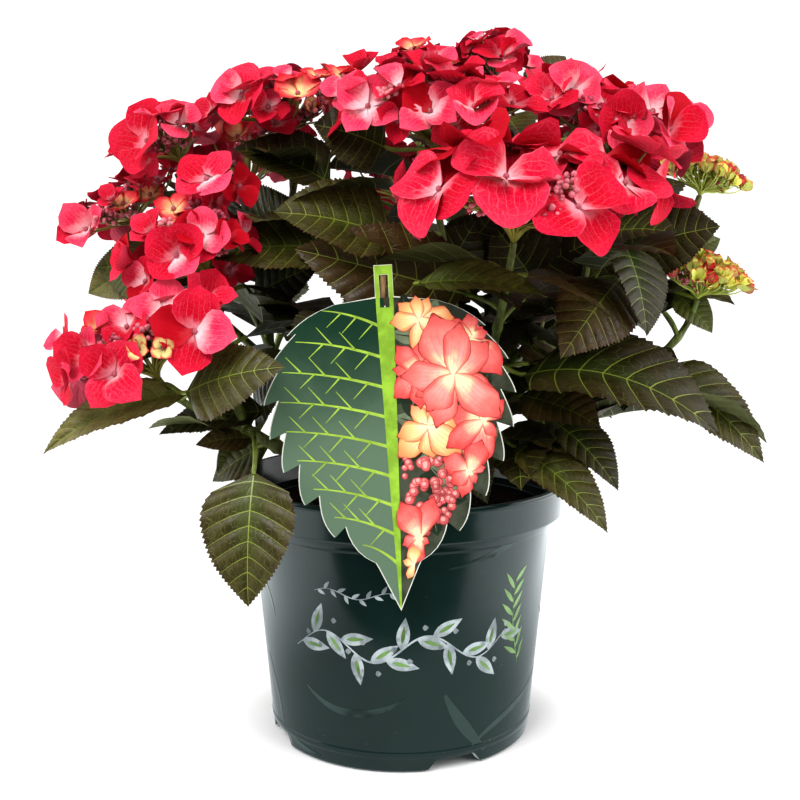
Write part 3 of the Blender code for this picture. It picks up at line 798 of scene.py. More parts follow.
def bloomInk(name, rim, middle):
    # pale at the heart, red at the margin, with streaks along the petal
    material, tree, surface = newMaterial(name, 0.28, {"Specular IOR Level": 0.5})
    along = addNode(tree, "ShaderNodeAttribute", attribute_name="along").outputs["Fac"]
    across = addNode(tree, "ShaderNodeAttribute", attribute_name="across").outputs["Fac"]
    cloud = clouds(tree, objectSpot(tree), 110.0, 0.3, 0.7)
    reach = maths(tree, "MAXIMUM", maths(tree, "ABSOLUTE", across), along)
    bend = maths(tree, "MULTIPLY_ADD", across, 3.6, times(tree, cloud, 0.5))
    streak = times(tree, fade(tree, fromStripe(tree, bend), 0.16, 0.0), fade(tree, along, 1.0, 0.3))
    heart = fade(tree, maths(tree, "MULTIPLY_ADD", cloud, 0.2, along), 0.2, 0.58)
    colour = mixColour(tree, heart, cardPrint["eye"], middle)
    colour = mixColour(tree, times(tree, cloud, 0.22), colour, cardPrint["gleam"])
    colour = mixColour(tree, times(tree, fade(tree, reach, 0.4, 1.0), 0.8), colour, rim)
    colour = mixColour(tree, fade(tree, reach, 0.92, 0.99), colour, cardPrint["outline"])
    colour = mixColour(tree, times(tree, streak, 0.35), colour, toned(rim, 0.8))
    paint(tree, surface, colour)
    return material


def petalOutline(centre, angle, length, width):
    points = []
    for step in range(13):
        along = step / 12
        half = width / 2 * math.sin(math.pi * along ** 0.8) ** 0.8 if 0 < along < 1 else 0.0
        points.append((along * length, half))
    points = points + [(x, -y) for x, y in reversed(points[1:-1])]
    c, s = math.cos(angle), math.sin(angle)
    return [(centre[0] + x * c - y * s, centre[1] + x * s + y * c) for x, y in points]


def flowerPetal(bm, centre, angle, size, level, tint, draw):
    # a fine grid whose points know how far along and across the petal they lie
    width, phase = size * draw.uniform(0.6, 0.92), draw.uniform(0, 6.3)
    made = bmesh.ops.create_grid(bm, x_segments=9, y_segments=6, size=0.5)["verts"]
    alongLayer, acrossLayer = bm.verts.layers.float["along"], bm.verts.layers.float["across"]
    c, s = math.cos(angle), math.sin(angle)
    for vert in made:
        along, across = vert.co.x + 0.5, vert.co.y * 2
        vert[alongLayer], vert[acrossLayer] = along, across
        half = width * 0.72 * (along + 0.03) ** 0.7 * (1 - 0.86 * along ** 3.0)
        half *= 1 + 0.1 * math.sin(9 * along + phase + across)
        x = size * (along - 0.12 * along * along * across * across)
        y = half * across
        vert.co = ((centre[0] + x * c - y * s) * mm, (centre[1] + x * s + y * c) * mm, (level + 0.005) * mm)
    faces = list({face for vert in made for face in vert.link_faces})
    for face in faces:
        face.material_index = 6 + tint
    bmesh.ops.solidify(bm, geom=faces, thickness=-0.003 * mm)


def roundOutline(centre, radius, steps=12):
    angles = [index * 2 * math.pi / steps for index in range(steps)]
    return [(centre[0] + radius * math.cos(angle), centre[1] + radius * math.sin(angle)) for angle in angles]


def ribbonOutline(route, width, steps=14):
    # a tapering line, one side up and the other side back
    sides = ([], [])
    for step in range(steps + 1):
        along = step / steps
        here, ahead = Vector(route(along)), Vector(route(along + 0.01))
        way = (ahead - here).normalized()
        half = Vector((-way.y, way.x)) * width * (1 - 0.75 * along) / 2
        sides[0].append(tuple(here + half))
        sides[1].append(tuple(here - half))
    return sides[0] + sides[1][::-1]


def printGround(bm, face):
    # the two halves, the stalk round its slot, and the midrib
    inset = cardPrint["inset"]
    side = [(0.4, cardBlade - inset)] + cardSide(inset) + [(0.4, 2.5)]
    for way, kind in ((1, 1), (-1, 0)):
        flatShape(bm, [(way * x, y) for x, y in side], face - 0.02, 0.06, kind)
    top, bottom = (cardLength - away for away in card["slotFromTop"])
    stalk, slot = card["stalkHalfWidth"] - 0.3, card["slotHalfWidth"] + 0.2
    end = cardLength - 0.4
    for x0, x1, low in ((-stalk, -slot, bottom - 1), (slot, stalk, bottom - 1), (-slot, slot, top + 0.3)):
        flatShape(bm, [(x0, low), (x1, low), (x1, end), (x0, end)], face - 0.02, 0.12, 3)
    rib = [(stalk, bottom - 1), (4.2, cardBlade * 0.72), (2.3, cardBlade * 0.3), (0.5, 2)]
    flatShape(bm, rib + [(-x, y) for x, y in reversed(rib)], face + 0.05, 0.09, 3)


def printVeins(bm, face):
    # side veins with short twigs, evenly set
    for index in range(cardPrint["sideVeins"]):
        low = cardBlade * (0.15 + 0.84 * index / cardPrint["sideVeins"])
        reach = cardInnerHalf(max(0.04, 1 - (low + 16) / cardBlade)) - 1.5

        def vein(t, low=low, reach=reach):
            return -reach * t, low + 22 * t - 9 * t * t
        flatShape(bm, ribbonOutline(vein, cardPrint["veinWidth"]), face + 0.05, 0.05, 2)
        for share, rise in cardPrint["twigs"]:
            foot, out = vein(share), cardPrint["twigReach"]

            def twig(t, foot=foot, rise=rise, out=out):
                return foot[0] - out * t, foot[1] + rise * t
            if reach > 26 and 1.5 - cardInnerHalf(1 - (foot[1] + rise) / cardBlade) < foot[0] - out:
                flatShape(bm, ribbonOutline(twig, cardPrint["twigWidth"], 6), face + 0.05, 0.05, 2)


def printLeaves(bm, face, draw):
    # leaves that lie behind the flowers
    for index in range(cardPrint["leaves"]):
        x, y, angle = draw.uniform(8, 66), draw.uniform(30, 176), draw.uniform(0, 6.3)
        size = min(26.0, cardRoom((x, y), angle))
        if insideCard(x, y, 4) and size > 12:
            level = face + 0.045 + 0.0004 * index
            flatShape(bm, petalOutline((x, y), angle, size, size * 0.55), level, 0.0002, 4 + index % 2)
            flatShape(bm, petalOutline((x, y), angle, size * 0.9, 0.8), level + 0.0002, 0.0001, 5 - index % 2)


def printBeads(bm, face, draw):
    made = 0
    while made < cardPrint["beads"]:
        x, y = draw.uniform(5, 60), draw.triangular(26, 108, 62)
        radius = draw.uniform(1.9, 3.4)
        if insideCard(x, y, radius):
            level = face + 0.06 + 0.0006 * made
            flatShape(bm, roundOutline((x, y), radius), level, 0.003, 12)
            flatShape(bm, roundOutline((x - 0.2, y + 0.2), radius * 0.86), level + 0.0032, 0.003, 10)
            flatShape(bm, roundOutline((x - 0.5, y + 0.6), radius * 0.45, 8), level + 0.0064, 0.003, 11)
            made += 1


def printFlowers(bm, face, draw):
    for index, (centre, radius, petals, tint) in enumerate(cardPrint["flowers"]):
        level = face + 0.15 + 0.075 * index
        for petal in range(petals):
            angle = index * 0.7 + petal * 2.4 + draw.uniform(-0.2, 0.2)
            size = min(radius * draw.uniform(0.66, 1.12), cardRoom(centre, angle))
            flowerPetal(bm, centre, angle, size, level + 0.012 * petal, tint, draw)
        for dot in range(5):
            spot = [part + draw.uniform(-0.08, 0.08) * radius for part in centre]
            flatShape(bm, roundOutline(spot, radius * 0.05, 8), level + 0.072 + 0.0003 * dot, 0.002, 9)


def printMaterials():
    def ink(key, change=1.3):
        dark, light = toned(cardPrint[key], 0.8), toned(cardPrint[key], change)
        return mottledMaterial("ink" + key[0].upper() + key[1:], dark, light, 0.28, 90,
                               settings={"Specular IOR Level": 0.5})
    materials = [fadingInk("inkGreen", cardPrint["green"], cardPrint["greenLow"]), ink("ground", 1.7),
                 ink("lime", 1.1), ink("stalk", 1.2), ink("leafDark"), ink("leaf")]
    materials += [bloomInk("inkPetal" + str(index), rim, middle)
                  for index, (rim, middle) in enumerate(zip(cardPrint["rims"], cardPrint["middles"]))]
    materials += [ink("eye", 1.05), ink("bead"), ink("beadLight", 1.1), ink("shade")]
    return materials


def makeCardPrint():
    face = card["thickness"] / 2
    bm = bmesh.new()
    bm.verts.layers.float.new("along")
    bm.verts.layers.float.new("across")
    printGround(bm, face)
    printVeins(bm, face)
    draw = random.Random(cardPrint["seed"])
    printLeaves(bm, face, draw)
    printBeads(bm, face, draw)
    printFlowers(bm, face, draw)
    bmesh.ops.recalc_face_normals(bm, faces=bm.faces[:])
    bmesh.ops.transform(bm, matrix=cardFrame(), verts=bm.verts[:])
    finishPiece(pieceFromShape("cardPrint", bm, printMaterials(), 30), "card")


stick = {"foot": (-14.0, -84.0), "radius": 2.1, "upright": 4.0, "belowTop": 0.03, "joints": (0.3, 0.62, 0.9),
         "steps": 46, "dark": (0.3, 0.17, 0.07), "light": (0.55, 0.37, 0.17)}


def makeCardCane():
    tip, top = Vector(card["tip"]), Vector(card["top"])
    behind = card["thickness"] / 2 + 0.3 + stick["radius"]
    head = top + (tip - top) * stick["belowTop"] + Vector((0, behind, 0))
    foot = Vector((*stick["foot"], soilTop - 6))
    bend = foot + Vector((0, 0, stick["upright"] + 6))
    points, radii = [foot], [stick["radius"]]
    for step in range(stick["steps"] + 1):
        along = step / stick["steps"]
        points.append(bend.lerp(head, along))
        knot = max(math.exp(-((along - joint) / 0.012) ** 2) for joint in stick["joints"])
        radii.append(stick["radius"] * (0.92 + 0.16 * knot))
    material, tree, surface = newMaterial("bamboo", 0.45)
    grain = clouds(tree, objectSpot(tree, (1, 1, 0.06)), 700.0)
    paint(tree, surface, mixColour(tree, grain, stick["dark"], stick["light"]))
    addBump(tree, surface, grain, 0.5, 0.2)
    mesh = tubesMesh("bambooCane", [(points, radii)], 4)
    finishPiece(pieceFromMesh("bambooCane", mesh, [material], 60), "bamboo", "card_cane")
    print("card made")


limbShape = {"caneRadii": (4.4, 3.6), "shootRadii": (3.2, 2.1), "caneFoot": 5.0, "reach": 0.36,
             "forkInset": 0.7, "forkAlong": 0.4, "forkStep": 0.17, "gap": 0.3,
             "caneNodes": (0.22, 0.5, 0.78), "shootNodes": (0.18, 0.5, 0.8), "swell": 0.3, "swellLength": 3.2,
             "caneSteps": 34, "shootSteps": 30, "rib": 0.22, "lump": 0.3}
canes = {  # foot, fork, way at the fork
    "cane_front": ((18, -36), (48, -66, 232), (0.35, -0.35, 1)),
    "cane_left": ((-38, -28), (-98, -70, 220), (-1, -0.35, 0.9)),
    "cane_back_left": ((-34, 20), (-92, 22, 258), (-0.6, 0.05, 1)),
    "cane_right": ((42, -10), (96, -42, 222), (1, -0.15, 0.8)),
    "cane_back_right": ((32, 30), (84, 58, 258), (0.5, 0.35, 1)),
    "cane_back": ((-4, 44), (-14, 98, 258), (-0.1, 0.5, 1)),
}
blooms = {  # cane, seat, half width, half depth and height, facing
    "front": ("cane_front", (66, -104, 336), (88, 64, 58), (0.1, -0.42, 1)),
    "centre": ("cane_front", (22, -34, 392), (76, 58, 54), (0, -0.22, 1)),
    "crest": ("cane_back_right", (68, 78, 450), (35, 38, 38), (0, 0.05, 1)),
    "crest_left": ("cane_back", (14, 62, 442), (31, 32, 30), (-0.1, 0.05, 1)),
    "upper_right": ("cane_right", (134, -22, 382), (60, 54, 54), (0.25, -0.2, 1)),
    "upper_left": ("cane_back_left", (-74, 6, 406), (58, 48, 44), (-0.15, -0.12, 1)),
    "high_left": ("cane_back_left", (-150, 16, 389), (47, 42, 42), (-0.4, -0.12, 1)),
    "far_left": ("cane_back_left", (-184, 30, 346), (54, 42, 36), (-0.6, 0, 1)),
    "front_left": ("cane_left", (-122, -52, 312), (46, 42, 44), (-0.35, -0.5, 1)),
    "low_left": ("cane_left", (-150, -80, 252), (62, 44, 48), (-0.45, -0.7, 1)),
    "young_right": ("cane_right", (196, -20, 298), (31, 28, 24), (0.2, -0.1, 1)),
    "young_far_right": ("cane_back_right", (212, 46, 368), (30, 28, 22), (0.3, 0.1, 1)),
    "back_left": ("cane_back_left", (-116, 116, 372), (61, 57, 48), (-0.3, 0.45, 1)),
    "back": ("cane_back", (8, 168, 360), (68, 58, 50), (0, 0.5, 1)),
    "back_right": ("cane_back_right", (136, 118, 376), (62, 57, 48), (0.4, 0.4, 1)),
    "back_low": ("cane_back", (84, 200, 286), (50, 46, 38), (0.35, 0.75, 1)),
}


def limbPoint(start, startWay, end, endWay, t):
    start, end = Vector(start), Vector(end)
    reach = (end - start).length * limbShape["reach"]
    lead = start + Vector(startWay).normalized() * reach
    trail = end - Vector(endWay).normalized() * reach
    return curvePoint(start, lead, trail, end, t)


def caneEnds(name):
    foot, fork, way = canes[name]
    return Vector((*foot, soilTop + limbShape["gap"] + limbShape["caneFoot"])), up, fork, way


def shootEnds(name):
    caneName, seat, _, facing = blooms[name]
    mates = [other for other in blooms if blooms[other][0] == caneName]
    fork = limbPoint(*caneEnds(caneName), 1 - limbShape["forkStep"] * mates.index(name))
    outward = (Vector(seat) - fork).normalized()
    leave = Vector(canes[caneName][2]).normalized() * limbShape["forkAlong"] + outward
    return fork + outward * limbShape["forkInset"], leave, seat, facing


limbs = []  # each: its points, their radii, and the number of its first point above the mix


def layLimbs():
    for name in canes:
        addLimb([Vector((*canes[name][0], soilTop - 7))], caneEnds(name), "cane")
    for name in blooms:
        addLimb([], shootEnds(name), "shoot")


def limbRoute(ends, steps):
    return [limbPoint(*ends, step / steps) for step in range(steps + 1)]


def taper(radii, steps, share=1.0):
    first, last = radii
    return [share * (first + (last - first) * step / steps) for step in range(steps + 1)]


def addLimb(feet, ends, kind):
    first, last = limbShape[kind + "Radii"]
    nodes = limbShape[kind + "Nodes"]
    points = feet + limbRoute(ends, limbShape[kind + "Steps"])
    length = sum((b - a).length for a, b in zip(points, points[1:]))
    widths, gone = [], 0.0
    for index, point in enumerate(points):
        if index:
            gone += (point - points[index - 1]).length
        width = first + (last - first) * gone / length
        away = min(abs(gone / length - node) for node in nodes)
        swell = math.exp(-(away * length / limbShape["swellLength"]) ** 2)
        widths.append(width * (1 + limbShape["swell"] * swell))
    limbs.append({"points": points, "radii": widths, "first": len(feet)})


def limbSample(limb, share):
    place = share * (len(limb["points"]) - 1)
    index = min(int(place), len(limb["points"]) - 2)
    here, ahead = limb["points"][index], limb["points"][index + 1]
    return here.lerp(ahead, place - index), (ahead - here).normalized()


def nearestLimb(place):
    best = None
    for limb in limbs:
        for point in limb["points"][limb["first"]:]:
            away = (point - place).length
            if best is None or away < best[0]:
                best = (away, point)
    return best[1]


barkTints = {  # dark and light bark, from the foot to the top, and the heights where each takes over
    "wood": ((0.045, 0.028, 0.014), (0.12, 0.085, 0.04)),
    "green": ((0.075, 0.095, 0.016), (0.17, 0.22, 0.04)),
    "top": ((0.06, 0.04, 0.014), (0.17, 0.15, 0.04)),
    "pores": (0.02, 0.012, 0.006), "greenFrom": (0.17, 0.23), "topFrom": (0.31, 0.4),
}


def stemMaterial():
    material, tree, surface = newMaterial("stemBark", 0.5)
    height = axesOf(tree, addNode(tree, "ShaderNodeTexCoord").outputs["Object"])[2]
    streak = clouds(tree, objectSpot(tree, (1, 1, 0.12)), 420.0)
    pores = dots(tree, objectSpot(tree, (1, 1, 0.5)), 520.0, 0.3, 0.1)
    wood, green, top = (mixColour(tree, streak, *barkTints[part]) for part in ("wood", "green", "top"))
    colour = mixColour(tree, fade(tree, height, *barkTints["greenFrom"]), wood, green)
    colour = mixColour(tree, fade(tree, height, *barkTints["topFrom"]), colour, top)
    colour = mixColour(tree, times(tree, pores, 0.6), colour, barkTints["pores"])
    paint(tree, surface, colour)
    addBump(tree, surface, streak, 0.7, 0.4)
    return material


def makeStems():
    mesh = tubesMesh("stems", [(limb["points"], limb["radii"]) for limb in limbs], 4)
    for vert in mesh.vertices:  # ribs and unevenness of the bark
        place = vert.co / mm
        rib = noise.noise(Vector((place.x * 0.55, place.y * 0.55, place.z * 0.05)))
        lump = noise.noise(place * 0.12)
        vert.co += vert.normal * (limbShape["rib"] * rib + limbShape["lump"] * lump) * mm
    names = list(canes) + ["shoot_" + name for name in blooms]
    finishPiece(pieceFromMesh("stems", mesh, [stemMaterial()], 70), "stems", *names)
    print("stems made")


leaf = {
    "veins": 8, "rowsBetween": 5, "columns": 5, "innerVeins": 7, "innerBetween": 1, "innerColumns": 3,
    "veinHalf": 0.0038, "ribHalf": 0.009, "toothDepth": 0.028, "toothLean": 0.006, "secondTooth": 0.8,
    "quilt": 0.013, "thickness": 0.0032, "stalkRadii": (1.8, 1.3), "stalkSteps": 7, "seed": 3,
    "stalkDark": (0.1, 0.14, 0.018), "stalkLight": (0.24, 0.3, 0.045),
}


def marginShare(share):
    # where the side vein that leaves the rib at this share meets the margin
    return share + 0.5 * share ** 0.6 * (1 - share) ** 1.1


def bladeHalfWidth(share):
    rise, fall = 0.6, 1.05
    peak = (rise / (rise + fall)) ** rise * (fall / (rise + fall)) ** fall
    return 0.5 * share ** rise * (1 - share) ** fall / peak


def bladeRows(veins, between):
    # (share, way from its vein's middle, tooth, share of the way to the next vein)
    rows = [(0.0, 0, 0.0, 0.0)]
    middles = [0.035 + 0.9 * (index + 0.3) / veins for index in range(veins)]
    for index, middle in enumerate(middles):
        rows += [(middle, -1, 1.0, 0.0), (middle, 1, 1.0, 0.0)]
        end = middles[index + 1] if index + 1 < veins else 1.0
        for step in range(between):
            along = (step + 1) / (between + 1)
            tooth = leaf["secondTooth"] if step % 2 else -1.0
            rows.append((middle + (end - middle) * along, 0, tooth, along))
    return rows + [(1.0, 0, 0.0, 0.0)]


def leafForm(veins, between, columns):
    rows = bladeRows(veins, between)
    wide, tall = 2 * columns + 1, len(rows) - 1
    bm, top = mappedGrid(wide, tall)
    edgeVerts = set()
    place = {vert: (round((vert.co.x + 0.5) * wide), round((vert.co.y + 0.5) * tall)) for vert in top}
    for vert in top:
        column, row = place[vert]
        share, veinSide, tooth, onward = rows[row]
        step = column - columns if column > columns else columns + 1 - column
        sideWay = 1 if column > columns else -1
        out = (step - 1) / columns
        share = min(1.0, share + veinSide * leaf["veinHalf"] * (1 - 0.75 * out))
        rib = leaf["ribHalf"] * (1 - 0.7 * share)
        reach = max(rib, bladeHalfWidth(marginShare(share)))
        x = rib + (reach - rib) * out
        y = share + (marginShare(share) - share) * out ** 1.3
        if step == columns + 1:
            x += tooth * leaf["toothDepth"] * min(0.5, reach * 1.3)
            y += tooth * leaf["toothLean"]
        bulge = math.sin(math.pi * onward) if onward else 0.0
        z = leaf["quilt"] * bulge * 4 * out * (1 - 0.82 * out) * min(1.0, 2.2 * (1 - share))
        z -= 0.004 if step == 1 else 0.0
        vert.co = (sideWay * x, y, z)
        if step == columns + 1 or row in (0, tall):
            edgeVerts.add(vert)
    for face in bm.faces:
        spots = [place[vert] for vert in face.verts]
        onRib = {column for column, _ in spots} == {columns, columns + 1}
        onVein = rows[min(row for _, row in spots)][1] == -1
        face.material_index = 2 if onRib or onVein else 0
    return closedForm(bm, top, edgeVerts, leaf["thickness"])


leafTints = {  # upper side, near the rib, margin, under side
    "deep": ((0.019, 0.0142, 0.003), (0.028, 0.046, 0.006), (0.03, 0.018, 0.006), (0.056, 0.06, 0.02)),
    "olive": ((0.034, 0.0285, 0.0058), (0.054, 0.07, 0.011), (0.056, 0.032, 0.01), (0.085, 0.086, 0.028)),
    "bronze": ((0.039, 0.022, 0.005), (0.054, 0.046, 0.01), (0.062, 0.029, 0.011), (0.072, 0.05, 0.018)),
    # fresh is a greener leaf colour of its own, and is also given to a few leaves as painted light where they
    # sit in the light
    "fresh": ((0.044, 0.048, 0.009), (0.072, 0.104, 0.017), (0.06, 0.047, 0.015), (0.15, 0.165, 0.07)),
    # pale is a lighter copy of the leaf colours: painted light for leaves that sit in the light
    "pale": ((0.098, 0.086, 0.026), (0.13, 0.15, 0.036), (0.12, 0.085, 0.036), (0.17, 0.18, 0.095)),
}
tintNames = list(leafTints)
veinColours = {"top": (0.215, 0.255, 0.036), "under": (0.25, 0.27, 0.095)}


def cellOfMap(tree, cell, side, columns, cloudScale, netScale, netLine):
    # one cell of the piece's own map: across, along, out from the middle, clouds and fine net
    spot = addNode(tree, "ShaderNodeUVMap", uv_map="OFBake").outputs[0]
    spot = addNode(tree, "ShaderNodeMapping", {"Vector": spot, "Location": (-cell, -side, 0),
                                               "Scale": (columns, 2, 1)}).outputs[0]
    across, along = axesOf(tree, spot)[:2]
    out = maths(tree, "ABSOLUTE", maths(tree, "MULTIPLY_ADD", across, 2.0, -1.0))
    net = groupValue(tree, fineNet, {"Spot": spot, "Scale": netScale, "Line": netLine})
    return across, along, out, clouds(tree, spot, cloudScale, 0.3, 0.7), net


def bladeMaterial(name, cell, side):
    upper, nearRib, margin, lower = leafTints[tintNames[cell]]
    material, tree, surface = newMaterial(name, 0.45, {"Specular IOR Level": 0.32})
    _, along, out, cloud, net = cellOfMap(tree, cell, side, len(tintNames), 4.0, 17.0, 0.055)
    if side == 0:
        colour = mixColour(tree, cloud, upper, toned(upper, 2.1))
        halo = times(tree, fade(tree, out, 0.55, 0.0), fade(tree, along, 1.0, 0.25))
        colour = mixColour(tree, halo, colour, nearRib)
        colour = mixColour(tree, fade(tree, out, 0.8, 1.0), colour, margin)
        colour = mixColour(tree, times(tree, net, 0.3), colour, toned(nearRib, 3.0))
    else:
        colour = mixColour(tree, cloud, toned(lower, 0.75), lower)
        colour = mixColour(tree, times(tree, net, 0.35), colour, toned(lower, 1.7))
    paint(tree, surface, colour)
    gloss = maths(tree, "MULTIPLY_ADD", cloud, 0.16, 0.34 if side == 0 else 0.52)
    wire(tree, surface.inputs["Roughness"], gloss)
    addBump(tree, surface, net, 0.5, -0.4)
    return material


def leafMaterials():
    made = [bladeMaterial(start + name.title(), cell, side)
            for side, start in enumerate(("leafTop", "leafUnder")) for cell, name in enumerate(tintNames)]
    return made + [plainMaterial("leafVein", veinColours["top"], 0.4),
                   plainMaterial("leafVeinUnder", veinColours["under"], 0.5)]


leafStalks = []  # routes of the leaf stalks, filled as leaves grow


def leafPlaces(form, base, tip, width, facing, fold, arch, twist, cup, wave, phase):
    # where the leaf's points lie, and the way its stalk meets it
    way = (tip - base).normalized()
    face = Vector(facing)
    face = (face - way * face.dot(way)).normalized()
    turn = Matrix((way.cross(face), way, face)).transposed()
    length = (tip - base).length / chordShare(arch)
    places = moved(bentBlade(form, length, width, fold, arch, twist, cup, wave, 2.3, phase), turn, base)
    half = math.radians(arch) / 2
    return places, way * math.cos(half) + face * math.sin(half)


def clearOfCard(places, room):
    # true where nothing lies in front of the card or touches it
    tip, top = card["tip"], card["top"]
    share = (places[:, 2] - tip[2]) / (top[2] - tip[2])
    across = np.abs(places[:, 0] - (tip[0] + (top[0] - tip[0]) * share))
    ahead = tip[1] + (top[1] - tip[1]) * share + room - places[:, 1]
    half = np.interp(share / card["bladeShare"], *cardOutline, left=0, right=card["stalkHalfWidth"])
    beside = np.interp(share, (-0.05, 0.0, 1.0, 1.03), (0, 1, 1, 0)) > 0
    return not bool(np.any((ahead > 0) & (across < half + room) & beside))


cardOutline = [[step / 20 for step in range(21)], [cardHalfWidth(1 - step / 20) for step in range(21)]]


def growLeaf(gathered, form, blade, base, tint, hold=None):
    places, leave = blade
    cell = tintNames.index(tint)
    count = len(tintNames)
    gathered.add(form, places * mm, [cell, count + cell, 2 * count, 2 * count + 1], cell)
    hold = nearestLimb(base) if hold is None else hold
    away = (base - hold).length
    outward = (base - hold).normalized() if away > 0.1 else leave
    route = limbRoute((hold, outward + up * 0.5, base + leave * 1.5, leave), leaf["stalkSteps"])
    leafStalks.append((route, taper(leaf["stalkRadii"], leaf["stalkSteps"])))


upward = (0, 0, 1)
# The leaves that stand out, listed one by one: base, tip, width, facing, tint, fold, arch
chosenLeaves = [
    # over the pot, left
    ((-88, -112, 200), (-90, -134, 124), 58, (-0.2, -1, 0.3), "olive", 8, 34),
    ((-84, -54, 208), (-124, -44, 180), 42, (-0.4, -0.7, 0.9), "olive", 10, 30),
    ((-86, -60, 229), (-155, -60, 214), 34, (0, -0.7, 1), "deep", 14, 35),
    ((-92, -70, 214), (-130, -70, 209), 24, (0, -0.8, 0.8), "bronze", 12, 30),
    ((-100, -40, 204), (-120, -44, 180), 26, (0.2, -1, 0.4), "fresh", 10, 30),
    # these two leaves take the pale tint, a lighter copy painted as light falling on them
    ((-178, 26, 320), (-218, 20, 300), 40, (-0.2, -1, 0.4), "pale", 8, 24),
    ((-132, -80, 243), (-217, -100, 209), 32, (-0.1, -0.75, 0.9), "pale", 14, 56),
    ((-130, -98, 246), (-66, -135, 266), 48, (0.1, -1, 0.6), "olive", -6, 40),
    # left of the card
    ((-118, -40, 292), (-118, -80, 306), 40, front, "deep", 10, 20),
    ((-36, -62, 286), (-56, -86, 252), 54, front, "deep", 10, 40),
    ((-39, -50, 331), (-122, -60, 326), 60, (-0.15, -0.75, 1), "olive", 10, 34),
    ((-4, -60, 338), (-78, -76, 354), 72, (-0.1, -0.8, 1), "olive", 12, 30),
    ((-46, -30, 374), (-110, -20, 396), 58, (0.1, -0.7, 1), "deep", 16, 30),
    ((-100, -24, 342), (-68, -26, 362), 56, (0, -0.9, 0.6), "deep", 8, 30),
    ((-150, 18, 318), (-212, 22, 318), 60, (-0.1, -1, 0.4), "fresh", 8, 24),
    ((-140, 60, 270), (-196, 92, 262), 62, upward, "olive", 12, 30),
    ((-138, 10, 262), (-190, -20, 250), 54, upward, "deep", 12, 40),
    # behind and beside the card
    ((40, -73, 304), (-66, -77, 332), 62, (-0.1, -1, 0.25), "bronze", 12, 24),
    ((10, -98, 312), (84, -122, 305), 34, (0.1, -0.7, 1), "fresh", 14, 34),
    ((30, -70, 230), (52, -108, 180), 40, front, "deep", 14, 30),
    ((52, -40, 270), (60, -92, 262), 54, front, "deep", 10, 40),
    # right
    ((76, -80, 255), (184, -130, 226), 80, (0.15, -0.62, 1), "deep", 12, 70),
    ((174, -8, 252), (242, -30, 190), 46, (0.35, -1, 0.6), "olive", 10, 40),
    ((92, -60, 226), (134, -90, 184), 40, (0.4, -0.7, 1), "deep", 14, 38),
    ((70, -80, 210), (124, -112, 163), 40, (0.3, -0.8, 1), "olive", 14, 46),
    ((76, -64, 240), (122, -90, 224), 52, (0.2, -0.7, 0.9), "bronze", 12, 30),
    ((104, -20, 270), (140, -34, 288), 54, (0.1, -0.9, 0.7), "deep", 10, 30),
    ((136, -60, 312), (94, -110, 268), 52, (0, -1, 0.5), "bronze", -12, 50),
    ((140, -56, 336), (148, -94, 280), 44, (0.6, -1, 0.35), "deep", 10, 26),
    ((120, -40, 340), (170, -70, 342), 60, (0, -0.7, 1), "deep", 12, 30),
    ((150, -14, 330), (206, -34, 346), 64, (0.1, -1, 0.7), "deep", 10, 24),
    ((184, 0, 326), (221, 20, 338), 24, (0.1, -1, 0.5), "fresh", 10, 20),
    ((183, -12, 302), (206, -24, 276), 26, (0.3, -1, 0.5), "fresh", 10, 34),
    ((160, 40, 300), (206, 76, 298), 60, upward, "deep", 12, 40),
    ((166, 36, 230), (212, 70, 222), 60, upward, "deep", 12, 40),
    # in the shade behind the front head
    ((60, 0, 300), (136, -10, 340), 62, (0.1, -1, 0.5), "deep", 12, 30),
    ((104, -10, 288), (62, 0, 348), 60, (-0.1, -1, 0.3), "deep", 12, 24),
    ((128, 6, 292), (166, 0, 340), 54, (0.1, -1, 0.5), "bronze", 12, 24),
    ((20, 0, 296), (50, -6, 350), 52, (0, -1, 0.3), "deep", 10, 24),
    ((36, 10, 318), (64, 0, 356), 44, (0, -1, 0.4), "deep", 10, 24),
    ((-100, 0, 300), (-52, -20, 322), 44, (0, -1, 0.5), "deep", 10, 24),
    ((-96, -40, 224), (-70, -84, 250), 34, (0, -1, 0.5), "deep", 10, 24),
    # top
    ((30, -30, 390), (76, -56, 396), 50, (0, -0.6, 1), "deep", 10, 30),
    ((-10, -30, 396), (-56, -36, 410), 58, (0.1, -0.9, 0.6), "deep", 12, 30),
    ((96, 90, 440), (124, 112, 474), 34, (0.2, -0.9, 0.5), "bronze", 14, 20),
    ((120, 80, 410), (170, 92, 414), 52, upward, "olive", 12, 30),
    # back
    ((-120, 110, 290), (-186, 150, 250), 66, upward, "deep", 12, 40),
    ((-100, 150, 300), (-120, 208, 260), 66, upward, "olive", 12, 40),
    ((-100, 110, 240), (-104, 150, 204), 60, upward, "deep", 12, 50),
    ((-128, 84, 330), (-178, 98, 338), 58, upward, "olive", 12, 30),
    ((0, 180, 300), (-36, 236, 254), 68, upward, "deep", 12, 40),
    ((20, 150, 240), (30, 206, 196), 66, upward, "olive", 12, 45),
    ((-8, 150, 320), (-52, 188, 330), 58, upward, "deep", 12, 30),
    ((140, 120, 300), (202, 158, 260), 68, upward, "deep", 12, 40),
    ((108, 144, 282), (120, 196, 234), 62, upward, "olive", 12, 45),
    ((126, 76, 250), (176, 76, 212), 60, upward, "deep", 12, 45),
]
